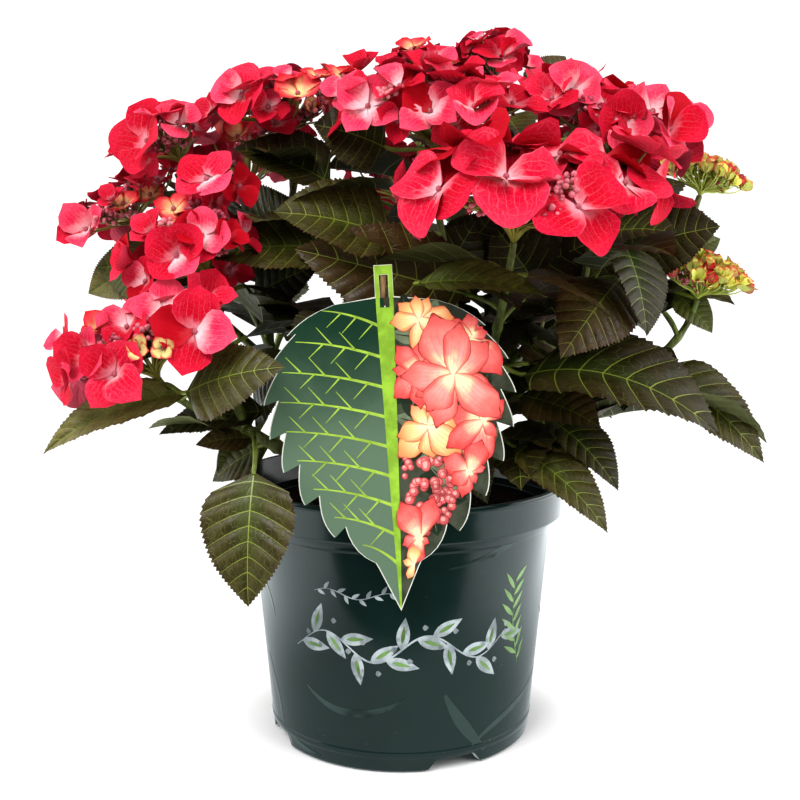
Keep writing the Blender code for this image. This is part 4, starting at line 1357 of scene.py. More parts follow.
# Gaps in the crown, in the frame: spot and reach
clearings = [(150, 392, 22), (192, 458, 30), (648, 452, 20), (738, 222, 20), (302, 288, 9), (640, 468, 22),
             (690, 330, 12), (120, 455, 22), (765, 325, 34), (505, 258, 14), (252, 396, 18), (778, 480, 16),
             (704, 181, 14), (300, 130, 12), (68, 285, 14), (60, 312, 16), (185, 312, 10), (215, 126, 14),
             (684, 338, 14)]
leafRule = {"seed": 21, "caneShares": (0.5, 0.78, 0.97), "shootShares": (0.18, 0.5, 0.8), "length": (62, 96),
            "ratio": (0.6, 0.72), "stalk": (10, 26), "tries": 7, "slack": 7.0, "overBox": 8.0,
            "aboveMix": 45, "fromCard": 5, "tintWeights": (5, 3, 2, 1, 0),
            # fold, arch, twist, cup, wave and the wave's start
            "bends": ((4, 18), (15, 55), (-18, 18), (-0.03, 0.05), (0.01, 0.04), (0, 6.3))}


def solidTree(node):
    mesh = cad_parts[node].data
    return BVHTree.FromPolygons([v.co / mm for v in mesh.vertices], [p.vertices[:] for p in mesh.polygons])


bodyTrees = [solidTree(node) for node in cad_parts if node.startswith(("leaves_", "bloom_"))]


def withinBodies(place, slack):
    for tree in bodyTrees:
        spot, normal, _, away = tree.find_nearest(place)
        if away < slack or (place - spot).dot(normal) < 0:
            return True
    return False


def withinBox(places):
    # the visual may pass the solids' own box only by a little
    low, high = (np.array(corner) / mm for corner in cadBox)
    return bool(np.all(places > low - leafRule["overBox"]) and np.all(places < high + leafRule["overBox"]))


def hidesClearing(places):
    # true where a leaf would fill a gap that ought to stay open to the sky
    across, down, _ = spotsInView(places)
    return any(bool(np.any((across - x) ** 2 + (down - y) ** 2 < reach ** 2)) for x, y, reach in clearings)


def growByRule(gathered, form):
    # leaves stand in pairs, each pair a quarter turn from the last, and stay in the crown's own masses
    made = 0
    for number, limb in enumerate(limbs):
        shares = leafRule["caneShares"] if limb["first"] else leafRule["shootShares"]
        start = random.Random(leafRule["seed"] + number).uniform(0, math.pi)
        for index, share in enumerate(shares):
            hold, along = limbSample(limb, share)
            if hold.z < soilTop + leafRule["aboveMix"]:
                continue
            basis = frameFrom(along, (1, 0, 0.01))
            for side in (0, 1):
                # each leaf has draws of its own, so a gap set above changes only the leaves that it meets
                draw = random.Random(leafRule["seed"] + 100 * (1 + number * 10 + index * 2 + side))
                angle = start + index * math.pi / 2 + side * math.pi
                for attempt in range(leafRule["tries"]):
                    turned = angle + draw.uniform(-0.5, 0.5) * (1 + attempt)
                    out = basis @ Vector((math.cos(turned), math.sin(turned), 0.25))
                    stalk = draw.uniform(*leafRule["stalk"])
                    length = draw.uniform(*leafRule["length"]) * (1 - 0.09 * attempt)
                    base = hold + out * stalk + up * stalk * 0.25
                    level = Vector((out.x, out.y, 0)).normalized()
                    way = (level + up * draw.uniform(-0.55, 0.35)).normalized()
                    tip = base + way * length
                    middle = base + way * length * 0.5
                    facing = up + level * draw.uniform(0.0, 0.6)
                    facing += Vector((draw.uniform(-0.3, 0.3), draw.uniform(-0.3, 0.3), 0))
                    tint = draw.choices(tintNames, leafRule["tintWeights"])[0]
                    width = length * draw.uniform(*leafRule["ratio"])
                    bends = [draw.uniform(*span) for span in leafRule["bends"]]
                    blade = leafPlaces(form, base, tip, width, facing, *bends)
                    inside = withinBodies(tip, leafRule["slack"]) and withinBodies(middle, leafRule["slack"])
                    shut = not clearOfCard(blade[0], leafRule["fromCard"]) or hidesClearing(blade[0])
                    if inside and withinBox(blade[0]) and not shut:
                        growLeaf(gathered, form, blade, base, tint, hold)
                        made += 1
                        break
    return made


def makeLeaves():
    full = leafForm(leaf["veins"], leaf["rowsBetween"], leaf["columns"])
    inner = leafForm(leaf["innerVeins"], leaf["innerBetween"], leaf["innerColumns"])
    materials = leafMaterials()
    shown = Gathered(len(tintNames), 2)
    draw = random.Random(leaf["seed"])
    for base, tip, width, facing, tint, fold, arch in chosenLeaves:
        base, tip = Vector(base), Vector(tip)
        blade = leafPlaces(full, base, tip, width, facing, fold, arch, draw.uniform(-8, 8), 0.02, 0.02,
                           draw.uniform(0, 6.3))
        growLeaf(shown, full, blade, base, tint)
    masses = [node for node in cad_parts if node.startswith("leaves_")]
    finishPiece(pieceFromMesh("leavesShown", shown.mesh("leavesShown"), materials, 70), "leaves", *masses)
    filling = Gathered(len(tintNames), 2)
    made = growByRule(filling, inner)
    finishPiece(pieceFromMesh("leavesInner", filling.mesh("leavesInner"), materials, 70), "leaves")
    stalk = mottledMaterial("leafStalk", leaf["stalkDark"], leaf["stalkLight"], 0.4, 120)
    finishPiece(pieceFromMesh("leafStalks", tubesMesh("leafStalks", leafStalks, 2), [stalk], 70), "leaves")
    print("leaves made:", len(chosenLeaves), "by hand,", made, "by rule")


flower = {
    "shownGrid": (6, 5), "fillGrid": (4, 4), "thickness": 0.01, "lift": 0.5, "openAngles": (9, 21),
    # half width: how it rises, how it draws in, what is left at the tip, how far the tip is bowed
    "outlines": {"round": (0.4, 2.5, 0.4, 0.14), "pointed": (0.62, 2.1, 0.05, 0.04)},
    "lean": {"front": -34, "centre": -8, "young_right": 16, "young_far_right": 16}, "mostDrop": 11.0,
    "stalkRadii": (1.25, 0.75), "stalkSteps": 8, "bead": 1.7, "beadGrid": (7, 5), "eye": (0.42, 0.1, 0.13),
    "budRadius": (1.2, 2.1), "budStalk": 0.45, "budsEach": (13, 19), "budStemSteps": 5,
    "smallReach": 12, "mapColumns": 8, "seed": 9,
    "stalkDark": (0.13, 0.1, 0.02), "stalkLight": (0.3, 0.27, 0.06),
    "youngStalkDark": (0.36, 0.44, 0.06), "youngStalkLight": (0.62, 0.7, 0.16),
}
flowerTints = {  # heart, middle, rim, back; on the red tints the rim is lighter than the middle, partly their own colour and partly painted highlight where the edges catch light
    "crimson": ((0.88, 0.4, 0.46), (0.52, 0.002, 0.022), (0.7, 0.02, 0.066), (0.54, 0.014, 0.046)),
    "coral": ((0.95, 0.6, 0.64), (0.66, 0.004, 0.04), (0.79, 0.054, 0.112), (0.67, 0.04, 0.09)),
    "rose": ((0.98, 0.84, 0.85), (0.76, 0.02, 0.085), (0.84, 0.122, 0.2), (0.74, 0.09, 0.158)),
    # deep is a darker copy of crimson: painted shade for florets set in shadow, and also dealt out now and
    # then as a darker petal
    "deep": ((0.6, 0.06, 0.08), (0.42, 0.002, 0.012), (0.52, 0.012, 0.03), (0.3, 0.003, 0.012)),
    "cream": ((0.78, 0.78, 0.34), (0.82, 0.68, 0.3), (0.7, 0.045, 0.06), (0.68, 0.56, 0.26)),
    "lime": ((0.66, 0.8, 0.13), (0.92, 0.94, 0.3), (0.8, 0.04, 0.05), (0.84, 0.92, 0.26)),
    "blush": ((0.86, 0.76, 0.36), (0.78, 0.07, 0.09), (0.66, 0.008, 0.032), (0.66, 0.14, 0.13)),
}
flowerNames = list(flowerTints)
budTints = {"mauve": (0.6, 0.15, 0.19), "pink": (0.76, 0.24, 0.28), "green": (0.3, 0.36, 0.08),
            "dusk": (0.42, 0.06, 0.1)}
budNames = list(budTints)


def sepalForm(outline, columns, rows):
    # a thin closed lens: half width grows from the claw and draws in to the tip, whose end row is curved
    rise, draw, end, bow = outline
    widest = max((r / 50) ** rise * (1 - (1 - end) * (r / 50) ** draw) for r in range(1, 51))
    bm, top = mappedGrid(columns, rows)
    edgeVerts = set()
    for vert in top:
        out, row = vert.co.x * 2, vert.co.y + 0.5
        if abs(out) > 0.99 or row < 0.01 or row > 0.99:
            edgeVerts.add(vert)
        half = 0.5 * (row + 0.02) ** rise * (1 - (1 - end) * row ** draw) / widest
        groove = -0.03 * (1 - abs(out)) * math.sin(math.pi * row)
        vert.co = (half * out, row * (1 - bow * row * row * out * out), groove)
    return closedForm(bm, top, edgeVerts, flower["thickness"])


def beadForm(segments, rings):
    bm = bmesh.new()
    bm.loops.layers.uv.new("OFBake")
    bmesh.ops.create_uvsphere(bm, u_segments=segments, v_segments=rings, radius=1.0, calc_uvs=True)
    return formFromShape(bm)


# how far each colour's heart reaches, and between which shares its rim fades in
heartReach = {"cream": 0.62, "blush": 0.62, "lime": 0.62, "rose": 0.46, "coral": 0.24}
edgeSpan = {"cream": (0.6, 0.94), "blush": (0.6, 0.94), "lime": (0.73, 0.95)}


def sepalMaterial(name, cell, side):
    tint = flowerNames[cell]
    heart, middle, rim, back = flowerTints[tint]
    material, tree, surface = newMaterial(name, 0.55, {"Specular IOR Level": 0.05})
    across, along, out, cloud, net = cellOfMap(tree, cell, side, flower["mapColumns"], 3.0, 9.0, 0.05)
    bend = times(tree, maths(tree, "MULTIPLY_ADD", cloud, 0.06, across), 8.0)
    vein = times(tree, fade(tree, fromStripe(tree, bend), 0.1, 0.0), fade(tree, along, 1.0, 0.35))
    vein = maths(tree, "MAXIMUM", vein, times(tree, net, 0.5))
    young = tint in edgeSpan
    edge = fade(tree, maths(tree, "MAXIMUM", out, along), *edgeSpan.get(tint, (0.5, 1.0)))
    if side == 0:
        glow = maths(tree, "MULTIPLY_ADD", cloud, -0.14, along)
        colour = mixColour(tree, fade(tree, glow, -0.08, heartReach.get(tint, 0.27)), heart, middle)
        colour = mixColour(tree, times(tree, cloud, 0.0 if young else 0.25), colour, rim)
        # towards the edge the red tints turn to their lighter rim: partly their own colour, partly painted
        # highlight on the edges; the young tints' red rim is their own colour
        colour = mixColour(tree, times(tree, edge, 1.0 if young else 0.5), colour, rim)
        colour = mixColour(tree, times(tree, vein, 0.17), colour, heart)
    else:
        colour = mixColour(tree, fade(tree, along, 0.0, 0.6), back, toned(back, 0.85))
        # the back also turns to the rim colour towards the edge: on the red tints partly painted highlight on
        # the edges
        colour = mixColour(tree, times(tree, edge, 0.6), colour, rim)
        colour = mixColour(tree, times(tree, vein, 0.2), colour, heart)
    paint(tree, surface, colour)
    addBump(tree, surface, vein, 0.6, -0.25)
    return material


def flowerMaterials():
    made = [sepalMaterial(start + name.title(), cell, side)
            for side, start in enumerate(("sepal", "sepalBack")) for cell, name in enumerate(flowerNames)]
    return made + [plainMaterial("flowerEye", flower["eye"], 0.5)]


# The flowers that face the viewer, listed one by one: spot in the frame, reach, facing, turn, shape, tint
chosenFlowers = {
    "front": [
        ((506, 178), 33, (0.04, -0.66, 0.75), 4, "round", "coral"),
        ((440, 190), 30, (-0.6, -0.6, 0.55), 30, "round", "coral"),
        ((578, 208), 31, (0.12, -0.78, 0.62), -34, "round", "crimson"),
        ((624, 184), 28, (0.3, -0.62, 0.72), 16, "round", "coral"),
        ((654, 182), 26, (0.75, -0.5, 0.5), 0, "round", "crimson"),
        ((604, 160), 27, (0.15, -0.4, 0.9), 30, "round", "coral"),
        ((560, 156), 27, (0, -0.4, 0.92), 45, "round", "coral"),
        ((464, 150), 31, (-0.28, -0.05, 1), 20, "round", "deep"),
        ((510, 146), 29, (0.1, 0.2, 1), 45, "round", "crimson"),
        ((646, 152), 25, (0.5, -0.1, 0.9), 10, "round", "coral"),
    ],
    "centre": [
        ((368, 107), 22, (-0.12, -0.92, 0.4), 30, "pointed", "rose"),
        ((430, 112), 23, (0.05, -0.9, 0.42), 45, "pointed", "rose"),
        ((474, 108), 21, (0, -0.7, 0.7), 0, "round", "coral"),
        ((452, 84), 23, (0, -0.3, 1), 20, "round", "crimson"),
        ((400, 88), 21, (-0.1, -0.5, 0.9), 30, "pointed", "coral"),
        ((512, 105), 24, (0.3, -0.55, 0.75), 50, "pointed", "crimson"),
        ((488, 88), 22, (0.1, -0.2, 1), 0, "round", "crimson"),
        ((348, 92), 17, (-0.3, -0.7, 0.6), 10, "pointed", "rose"),
        ((361, 70), 17, (-0.3, -0.3, 0.9), 40, "pointed", "coral"),
        ((426, 72), 21, (0, -0.2, 1), 35, "round", "crimson"),
        ((537, 92), 20, (0.4, -0.5, 0.7), 20, "round", "coral"),
        ((454, 129), 19, (0, -0.85, 0.2), 60, "pointed", "coral"),
        ((398, 118), 16, (0.1, -0.9, 0.1), 15, "pointed", "crimson"),
    ],
    "upper_right": [
        ((571, 92), 21, (0, -0.85, 0.5), 40, "round", "rose"),
        ((606, 107), 20, (0.1, -0.75, 0.7), 20, "pointed", "rose"),
        ((622, 126), 21, (0.1, -0.96, 0.1), 0, "round", "rose"),
        ((668, 130), 23, (0.5, -0.82, 0.35), 30, "round", "rose"),
        ((680, 108), 20, (0.4, -0.75, 0.55), 20, "round", "rose"),
        ((652, 104), 20, (0.25, -0.75, 0.6), 0, "round", "rose"),
        ((582, 74), 20, (0, -0.35, 1), 10, "round", "crimson"),
        ((552, 100), 21, (-0.2, -0.65, 0.7), 30, "pointed", "coral"),
        ((614, 86), 19, (0.2, -0.3, 1), 45, "round", "crimson"),
        ((552, 78), 19, (-0.2, -0.3, 1), 45, "round", "coral"),
        ((640, 140), 19, (0.2, -0.9, 0.4), 45, "round", "coral"),
        ((597, 128), 17, (-0.1, -0.9, 0.1), 25, "pointed", "crimson"),
    ],
    "crest": [
        ((503, 43), 21, (-0.05, -0.6, 0.8), 0, "round", "rose"),
        ((506, 55), 17, (0.45, -0.55, -0.2), 30, "pointed", "crimson"),
        ((482, 40), 13, (-0.4, -0.3, 0.9), 30, "pointed", "coral"),
        ((522, 66), 15, (0.5, -0.5, 0.6), 10, "pointed", "crimson"),
        ((472, 50), 9, (-0.6, -0.7, 0.2), 40, "pointed", "crimson"),
    ],
    "crest_left": [
        ((414, 46), 15, (-0.2, -0.45, 0.9), 20, "pointed", "blush"),
        ((438, 55), 13, (0.2, -0.5, 0.85), 45, "pointed", "coral"),
        ((424, 62), 13, (0, -0.6, 0.8), 10, "pointed", "blush"),
        ((403, 64), 14, (-0.4, -0.5, 0.7), 10, "pointed", "coral"),
        ((447, 66), 11, (0.2, -0.6, 0.7), 30, "pointed", "blush"),
        ((389, 68), 13, (-0.3, -0.5, 0.8), 25, "pointed", "coral"),
    ],
    "upper_left": [
        ((243, 96), 21, (-0.4, -0.85, 0.4), 10, "round", "coral"),
        ((252, 80), 21, (-0.2, -0.5, 0.85), 30, "round", "coral"),
        ((298, 95), 19, (0, -0.6, 0.8), 40, "pointed", "blush"),
        ((276, 124), 17, (0.3, -0.8, 0.4), 60, "round", "coral"),
        ((317, 79), 12, (0.1, -0.5, 0.9), 20, "pointed", "blush"),
        ((288, 76), 14, (-0.1, -0.4, 0.9), 45, "pointed", "rose"),
        ((343, 78), 14, (0.1, -0.5, 0.8), 20, "pointed", "blush"),
        ((214, 112), 16, (-0.6, -0.6, 0.4), 10, "pointed", "coral"),
        ((268, 108), 16, (0.1, -0.8, 0.5), 20, "pointed", "crimson"),
        ((332, 95), 10, (0.1, -0.7, 0.7), 30, "pointed", "cream"),
        ((311, 110), 9, (0, -0.9, 0.4), 0, "pointed", "cream"),
        ((324, 106), 8, (0.1, -0.8, 0.6), 30, "pointed", "blush"),
        ((238, 138), 14, (-0.1, -0.7, 0.65), 45, "pointed", "blush"),
        ((331, 68), 12, (0.1, -0.3, 0.9), 10, "pointed", "blush"),
    ],
    "high_left": [
        ((148, 140), 26, (-0.55, -0.8, 0.25), 20, "round", "crimson"),
        ((178, 122), 17, (0.25, -0.65, 0.7), 20, "round", "rose"),
        ((162, 118), 18, (-0.1, -0.25, 1), 45, "round", "coral"),
        ((192, 128), 13, (0.5, -0.5, 0.6), 0, "pointed", "rose"),
        ((146, 160), 15, (-0.1, -0.95, -0.1), 45, "pointed", "coral"),
        ((207, 118), 11, (0.3, -0.5, 0.8), 0, "pointed", "blush"),
    ],
    "far_left": [
        ((87, 230), 23, (-0.35, -0.88, 0.35), 60, "pointed", "rose"),
        ((124, 205), 13, (-0.2, -0.6, 0.8), 20, "pointed", "blush"),
        ((113, 200), 12, (-0.3, -0.6, 0.7), 40, "pointed", "coral"),
        ((150, 196), 12, (0.2, -0.6, 0.7), 40, "pointed", "blush"),
        ((140, 188), 12, (0, -0.4, 0.95), 0, "pointed", "coral"),
        ((158, 182), 13, (0.1, -0.5, 0.9), 25, "pointed", "coral"),
        ((172, 172), 14, (0.1, -0.4, 0.9), 10, "pointed", "crimson"),
    ],
    "front_left": [
        ((207, 180), 23, (-0.1, -0.72, 0.65), 40, "round", "coral"),
        ((202, 236), 19, (0.1, -0.9, 0.4), 10, "round", "rose"),
        ((177, 256), 22, (-0.05, -0.95, 0.25), 40, "round", "crimson"),
        ((134, 262), 19, (-0.85, -0.45, 0.3), 20, "pointed", "coral"),
        ((229, 270), 17, (0.4, -0.8, 0.4), 20, "pointed", "crimson"),
        ((238, 186), 17, (0.55, -0.6, 0.1), 70, "pointed", "deep"),
        ((174, 210), 14, (0, -0.7, 0.5), 20, "pointed", "blush"),
        ((188, 206), 14, (0.2, -0.6, 0.7), 50, "pointed", "coral"),
        ((152, 232), 16, (-0.4, -0.7, 0.6), 30, "pointed", "coral"),
        ((147, 282), 17, (-0.5, -0.8, 0.3), 30, "pointed", "crimson"),
        ((228, 236), 13, (0.6, -0.7, 0.4), 30, "pointed", "deep"),
        ((214, 206), 13, (0.3, -0.8, 0.4), 0, "pointed", "crimson"),
    ],
    "low_left": [
        ((195, 332), 28, (0.1, -0.95, 0.3), 12, "pointed", "rose"),
        ((165, 312), 23, (-0.05, -0.8, 0.6), 0, "pointed", "rose"),
        ((128, 328), 21, (-0.2, -0.78, 0.6), 15, "pointed", "rose"),
        ((115, 374), 25, (-0.05, -0.97, 0.1), 40, "pointed", "coral"),
        ((89, 356), 21, (-0.5, -0.8, 0.3), 20, "pointed", "rose"),
        ((70, 377), 20, (-0.8, -0.55, -0.1), 30, "pointed", "crimson"),
        ((65, 342), 17, (-0.8, -0.5, 0.35), 0, "pointed", "crimson"),
        ((139, 349), 10, (0, -0.95, 0.2), 20, "pointed", "cream"),
        ((163, 348), 10, (0.15, -0.95, 0.1), 50, "pointed", "cream"),
        ((104, 330), 15, (-0.3, -0.6, 0.8), 30, "pointed", "blush"),
        ((206, 300), 20, (0.4, -0.6, 0.8), 20, "pointed", "coral"),
    ],
}
# Bud clusters that show between them
chosenBuds = {
    "front": [(553, 196), (546, 216), (566, 188)], "centre": [(454, 112), (408, 124), (388, 100), (494, 122)],
    "upper_left": [(318, 108), (343, 110), (268, 132), (306, 120)], "crest": [(474, 58), (488, 62)],
    "upper_right": [(590, 108), (606, 124), (640, 118)], "high_left": [(176, 142), (188, 144), (166, 150)],
    "far_left": [(104, 220), (116, 222), (136, 212)], "front_left": [(196, 214), (170, 232), (216, 222)],
    "low_left": [(148, 334), (118, 346)], "crest_left": [(412, 62), (436, 66)],
}
# How each head is filled where no flower is listed: flowers tried, reach, how far round, bud clusters
headFill = {
    "front": (18, 28, 105, 10), "centre": (26, 21, 105, 10), "crest": (12, 18, 105, 6),
    "crest_left": (12, 14, 105, 5), "upper_right": (24, 20, 105, 8), "upper_left": (26, 17, 105, 10),
    "high_left": (16, 17, 105, 8), "far_left": (16, 15, 105, 8), "front_left": (18, 18, 105, 8),
    "low_left": (18, 20, 108, 7), "young_right": (50, 10.5, 88, 8), "young_far_right": (40, 10, 88, 7),
    "back_left": (30, 20, 112, 7), "back": (32, 21, 112, 7), "back_right": (30, 21, 112, 7),
    "back_low": (24, 19, 112, 6),
}
# The top of the crown in the frame, left to right: no petal stands above it
crownLine = [(52, 240), (60, 199), (100, 190), (107, 134), (130, 107), (165, 101), (195, 104), (226, 70),
             (242, 64), (272, 66), (322, 64), (352, 53), (392, 37), (432, 37), (450, 44), (464, 42),
             (474, 31), (512, 25), (530, 44), (556, 52), (600, 64), (622, 85), (660, 85), (698, 100),
             (708, 130), (740, 168), (750, 190)]
stalkRoutes = {False: [], True: []}  # the stalks of the grown heads and of the young ones


def isYoung(name):
    return name.startswith("young")


def keepStalk(name, route, radii):
    stalkRoutes[isYoung(name)].append((route, radii))


def headFrame(name):
    _, seat, size, facing = blooms[name]
    return Vector(seat), frameFrom(facing, (1, 0, 0)), Vector(size)


def growFlower(gathered, sepals, centre, facing, reach, turn, shape, tint, name, draw):
    seat, basis, _ = headFrame(name)
    face = Vector(facing).normalized()
    aim = Vector((0, 0.25, 1))
    ahead = (aim - face * face.dot(aim)).normalized()
    cell = flowerNames.index(tint)
    count = len(flowerNames)
    small = reach < flower["smallReach"]
    closed = draw.choice((0, 0, 6, 16))
    shades = flowerNames.index("deep"), flowerNames.index("crimson"), cell, flowerNames.index("rose")
    petals = []
    for index in range(4):
        # now and then a petal is darker or paler than its flower
        weights = (0.4, 2.6, 9, 0 if name == "front" else 2)
        own = draw.choices(shades, weights)[0] if tint in ("crimson", "coral", "rose") else cell
        angle = math.radians(turn + index * 90 + draw.uniform(-7, 7))
        way = Matrix.Rotation(-angle, 3, face) @ ahead
        lift = flower["openAngles"][index % 2] + draw.uniform(-6, 12) + (26 if small else 0) + closed
        lift = math.radians(lift + flower["lean"].get(name, 0))
        out = way * math.cos(lift) + face * math.sin(lift)
        normal = face * math.cos(lift) - way * math.sin(lift)
        length = reach * draw.uniform(0.9, 1.06)
        wide = length * (draw.uniform(1.04, 1.22) if shape == "round" else draw.uniform(0.88, 1.02))
        arch = draw.uniform(-25, 60)
        places = bentBlade(sepals[shape], length / chordShare(arch), wide, draw.uniform(0, 15), arch,
                           draw.uniform(-18, 18), draw.uniform(-0.24, 0.1), draw.uniform(0.03, 0.085),
                           draw.uniform(0.8, 1.9), draw.uniform(0, 6.3))
        axes = Matrix((out.cross(normal), out, normal)).transposed()
        petals.append((moved(places, axes, centre + way * 0.8 + face * flower["lift"] * (index % 2)), own))
    # a flower that stands above the crown is let down a little
    across, down, scale = spotsInView(np.concatenate([places for places, _ in petals]))
    above = np.interp(across, *zip(*crownLine)) - down
    excess = 0.0 if isYoung(name) else max(0.0, float(np.percentile(above * scale, 97)))
    drop = Vector((0, 0, -min(flower["mostDrop"], excess)))
    for places, own in petals:
        gathered.add(sepals[shape], (places + np.array(drop)) * mm, [own, count + own], own)
    centre = centre + drop
    bead = flower["bead"] * (0.8 if small else 1.0)
    places = moved(beads * bead, Matrix.Identity(3), centre + face * bead * 0.9)
    gathered.add(beadShape, places * mm, [2 * count], flower["mapColumns"] - 1)
    leave = basis.col[2] + (centre - seat).normalized() * 0.6
    route = limbRoute((seat, leave, centre - face * 0.5, face), flower["stalkSteps"])
    keepStalk(name, route, taper(flower["stalkRadii"], flower["stalkSteps"], 0.6 if small else 1.0))


def domeSpot(name, angle, tilt, share, reach):
    seat, basis, size = headFrame(name)
    level = size.z * 0.44
    wide, deep = max(6, size.x - reach * 0.72), max(6, size.y - reach * 0.72)
    out = math.sin(tilt)
    spot = Vector((wide * out * math.cos(angle), deep * out * math.sin(angle), level * math.cos(tilt)))
    normal = Vector((spot.x / wide ** 2, spot.y / deep ** 2, spot.z / level ** 2)).normalized()
    return seat + basis @ (spot * share + Vector((0, 0, size.z * 0.46))), basis @ normal


def spotOnHead(name, spot):
    # where the line of sight through a spot in the frame meets this head
    seat, basis, size = headFrame(name)
    ray = sightLine(spot)
    start = Vector(view["place"])
    hit = headTrees[name].ray_cast(start, ray)[0]
    if hit is None:
        middle = seat + basis.col[2] * size.z * 0.5
        hit = start + ray * (middle - start).dot(ray)
    return hit + ray * 5


def fillHead(gathered, name, taken, draw):
    tries, reach, reachAngle, _ = headFill[name]
    young = isYoung(name)
    _, basis, _ = headFrame(name)
    made = 0
    for index in range(tries):
        tilt = math.acos(1 - (1 - math.cos(math.radians(reachAngle))) * (index + 0.5) / tries)
        angle = index * math.pi * (3 - math.sqrt(5)) + draw.uniform(-0.25, 0.25)
        spread = draw.uniform(0.95, 1.2) if young else draw.uniform(0.86, 1.0)
        spot, normal = domeSpot(name, angle, tilt, spread, reach)
        here = reach * draw.uniform(0.8, 1.08)
        if any((spot - other).length < 0.8 * min(here, room) for other, room in taken):
            continue
        if taken and normal.y < -0.25 and not young:
            continue
        facing = normal + basis.col[2] * (0.9 if young else 0.25)
        facing += Vector([draw.uniform(-0.25, 0.25) for _ in range(3)])
        if young:
            tint = draw.choices(("lime", "cream", "blush"), (7, 2, 1))[0]
        else:
            tint = draw.choices(("crimson", "coral", "rose", "deep", "blush"), (4, 6, 3, 1, 1))[0]
        shape = "pointed" if young or draw.random() < 0.45 else "round"
        growFlower(gathered, fillSepals, spot, facing, here, draw.uniform(0, 90), shape, tint, name, draw)
        made += 1
        if not young:
            taken.append((spot, here))
    return made


def growBuds(gathered, name, hub, normal, draw):
    seat, basis, _ = headFrame(name)
    young = isYoung(name)
    steps = flower["budStemSteps"]
    route = limbRoute((seat, basis.col[2], hub, normal), steps)
    keepStalk(name, route, [0.9 - 0.06 * step for step in range(steps + 1)])
    spread = frameFrom(normal, (1, 0.2, 0.1))
    names = ("green", "mauve") if young else ("mauve", "pink", "dusk")
    main = draw.choice(names)
    for _ in range(draw.randint(*flower["budsEach"])):
        tilt = math.radians(78) * math.sqrt(draw.random())
        out, around = math.sin(tilt), draw.uniform(0, 6.3)
        way = spread @ Vector((out * math.cos(around), out * math.sin(around), math.cos(tilt)))
        length = draw.uniform(5.0, 8.5)
        radius = draw.uniform(*flower["budRadius"]) * (0.8 if young else 1.0)
        place = hub + way * length
        tint = main if draw.random() < 0.75 else draw.choice(names)
        places = moved(beads * [radius, radius, radius * 1.15], frameFrom(way, (1, 0.1, 0.3)), place)
        gathered.add(beadShape, places * mm, [budNames.index(tint)], 0)
        keepStalk(name, [hub, hub + way * length * 0.6, place], [flower["budStalk"]] * 3)


def fillBuds(gathered, name, draw):
    clusters = headFill[name][3]
    _, basis, _ = headFrame(name)
    for spot in chosenBuds.get(name, []):
        growBuds(gathered, name, spotOnHead(name, spot), basis.col[2] + Vector((0, -0.6, 0)), draw)
    for index in range(clusters):
        tilt = math.radians(82) * math.sqrt((index + 0.5) / clusters)
        hub, normal = domeSpot(name, index * 2.4 + draw.uniform(-0.3, 0.3), tilt, draw.uniform(0.5, 0.72), 12)
        growBuds(gathered, name, hub - normal * 2, normal, draw)


def makeFlowers():
    draw = random.Random(flower["seed"])
    shown, others, youngOnes = (Gathered(flower["mapColumns"], 2) for _ in range(3))
    buds, youngBuds = Gathered(), Gathered()
    count = 0
    for name in blooms:
        taken = []
        for spot, reach, facing, turn, shape, tint in chosenFlowers.get(name, []):
            centre = spotOnHead(name, spot)
            taken.append((centre, reach))
            growFlower(shown, shownSepals, centre, facing, reach, turn, shape, tint, name, draw)
        count += len(taken) + fillHead(youngOnes if isYoung(name) else others, name, taken, draw)
        fillBuds(youngBuds if isYoung(name) else buds, name, draw)
    grownHeads = ["bloom_" + name for name in blooms if not isYoung(name)]
    youngHeads = ["bloom_" + name for name in blooms if isYoung(name)]
    petals = flowerMaterials()
    budMaterials = [mottledMaterial("bud" + name.title(), toned(colour, 0.8), colour, 0.45, 300)
                    for name, colour in budTints.items()]
    stalk = mottledMaterial("flowerStalk", flower["stalkDark"], flower["stalkLight"], 0.4, 60)
    youngStalk = mottledMaterial("youngStalk", flower["youngStalkDark"], flower["youngStalkLight"], 0.4, 60)
    for name, gathered, slot, heads in (("flowersShown", shown, "blooms", grownHeads),
                                        ("flowersOther", others, "blooms", []),
                                        ("flowersYoung", youngOnes, "young_blooms", youngHeads)):
        finishPiece(pieceFromMesh(name, gathered.mesh(name), petals, 70), slot, *heads)
    for name, gathered, slot in (("flowerBuds", buds, "blooms"), ("youngBuds", youngBuds, "young_blooms")):
        finishPiece(pieceFromMesh(name, gathered.mesh(name), budMaterials), slot)
    for name, material, young in (("flowerStalks", stalk, False), ("youngStalks", youngStalk, True)):
        obj = pieceFromMesh(name, tubesMesh(name, stalkRoutes[young], 1), [material])
        finishPiece(obj, "young_blooms" if young else "blooms")
    print("flowers made:", count)


studio = {
    "floor": 6.0, "floorTints": ((0.88, 0.88, 0.88), (0.91, 0.91, 0.905)), "white": (0.085, 0.14), "sky": 0.5,
    # what the gloss mirrors: the sweep's strength and tint, and where the sweep and the dark room begin
    "sweep": 2.2, "sweepTint": (0.92, 0.97, 1.0), "aside": (0.15, 0.36, 0.8), "room": (-0.225, -0.262),
    # each light: place, the height that it aims at, width, height, power
    "lights": {
        "keyLight": ((-0.9, -1.3, 1.9), 0.28, 1.2, 1.2, 36.0),
        "fillLight": ((1.3, -1.0, 1.1), 0.25, 1.2, 1.2, 16.0),
        "sidePanelLeft": ((-1.3, 0.16, 0.5), 0.25, 1.5, 1.1, 9.0),
        "sidePanelRight": ((1.3, 0.16, 0.5), 0.25, 1.5, 1.1, 9.0),
    },
}


def addLight(name, place, aimHeight, width, height, power):
    data = bpy.data.lights.new(name, "AREA")
    data.shape = "RECTANGLE"
    data.size = width
    data.size_y = height
    data.energy = power
    light = bpy.data.objects.new(name, data)
    light.location = place
    light.visible_camera = False
    light.rotation_euler = (Vector((0, 0, aimHeight)) - Vector(place)).to_track_quat("-Z", "Y").to_euler()
    bpy.context.scene.collection.objects.link(light)


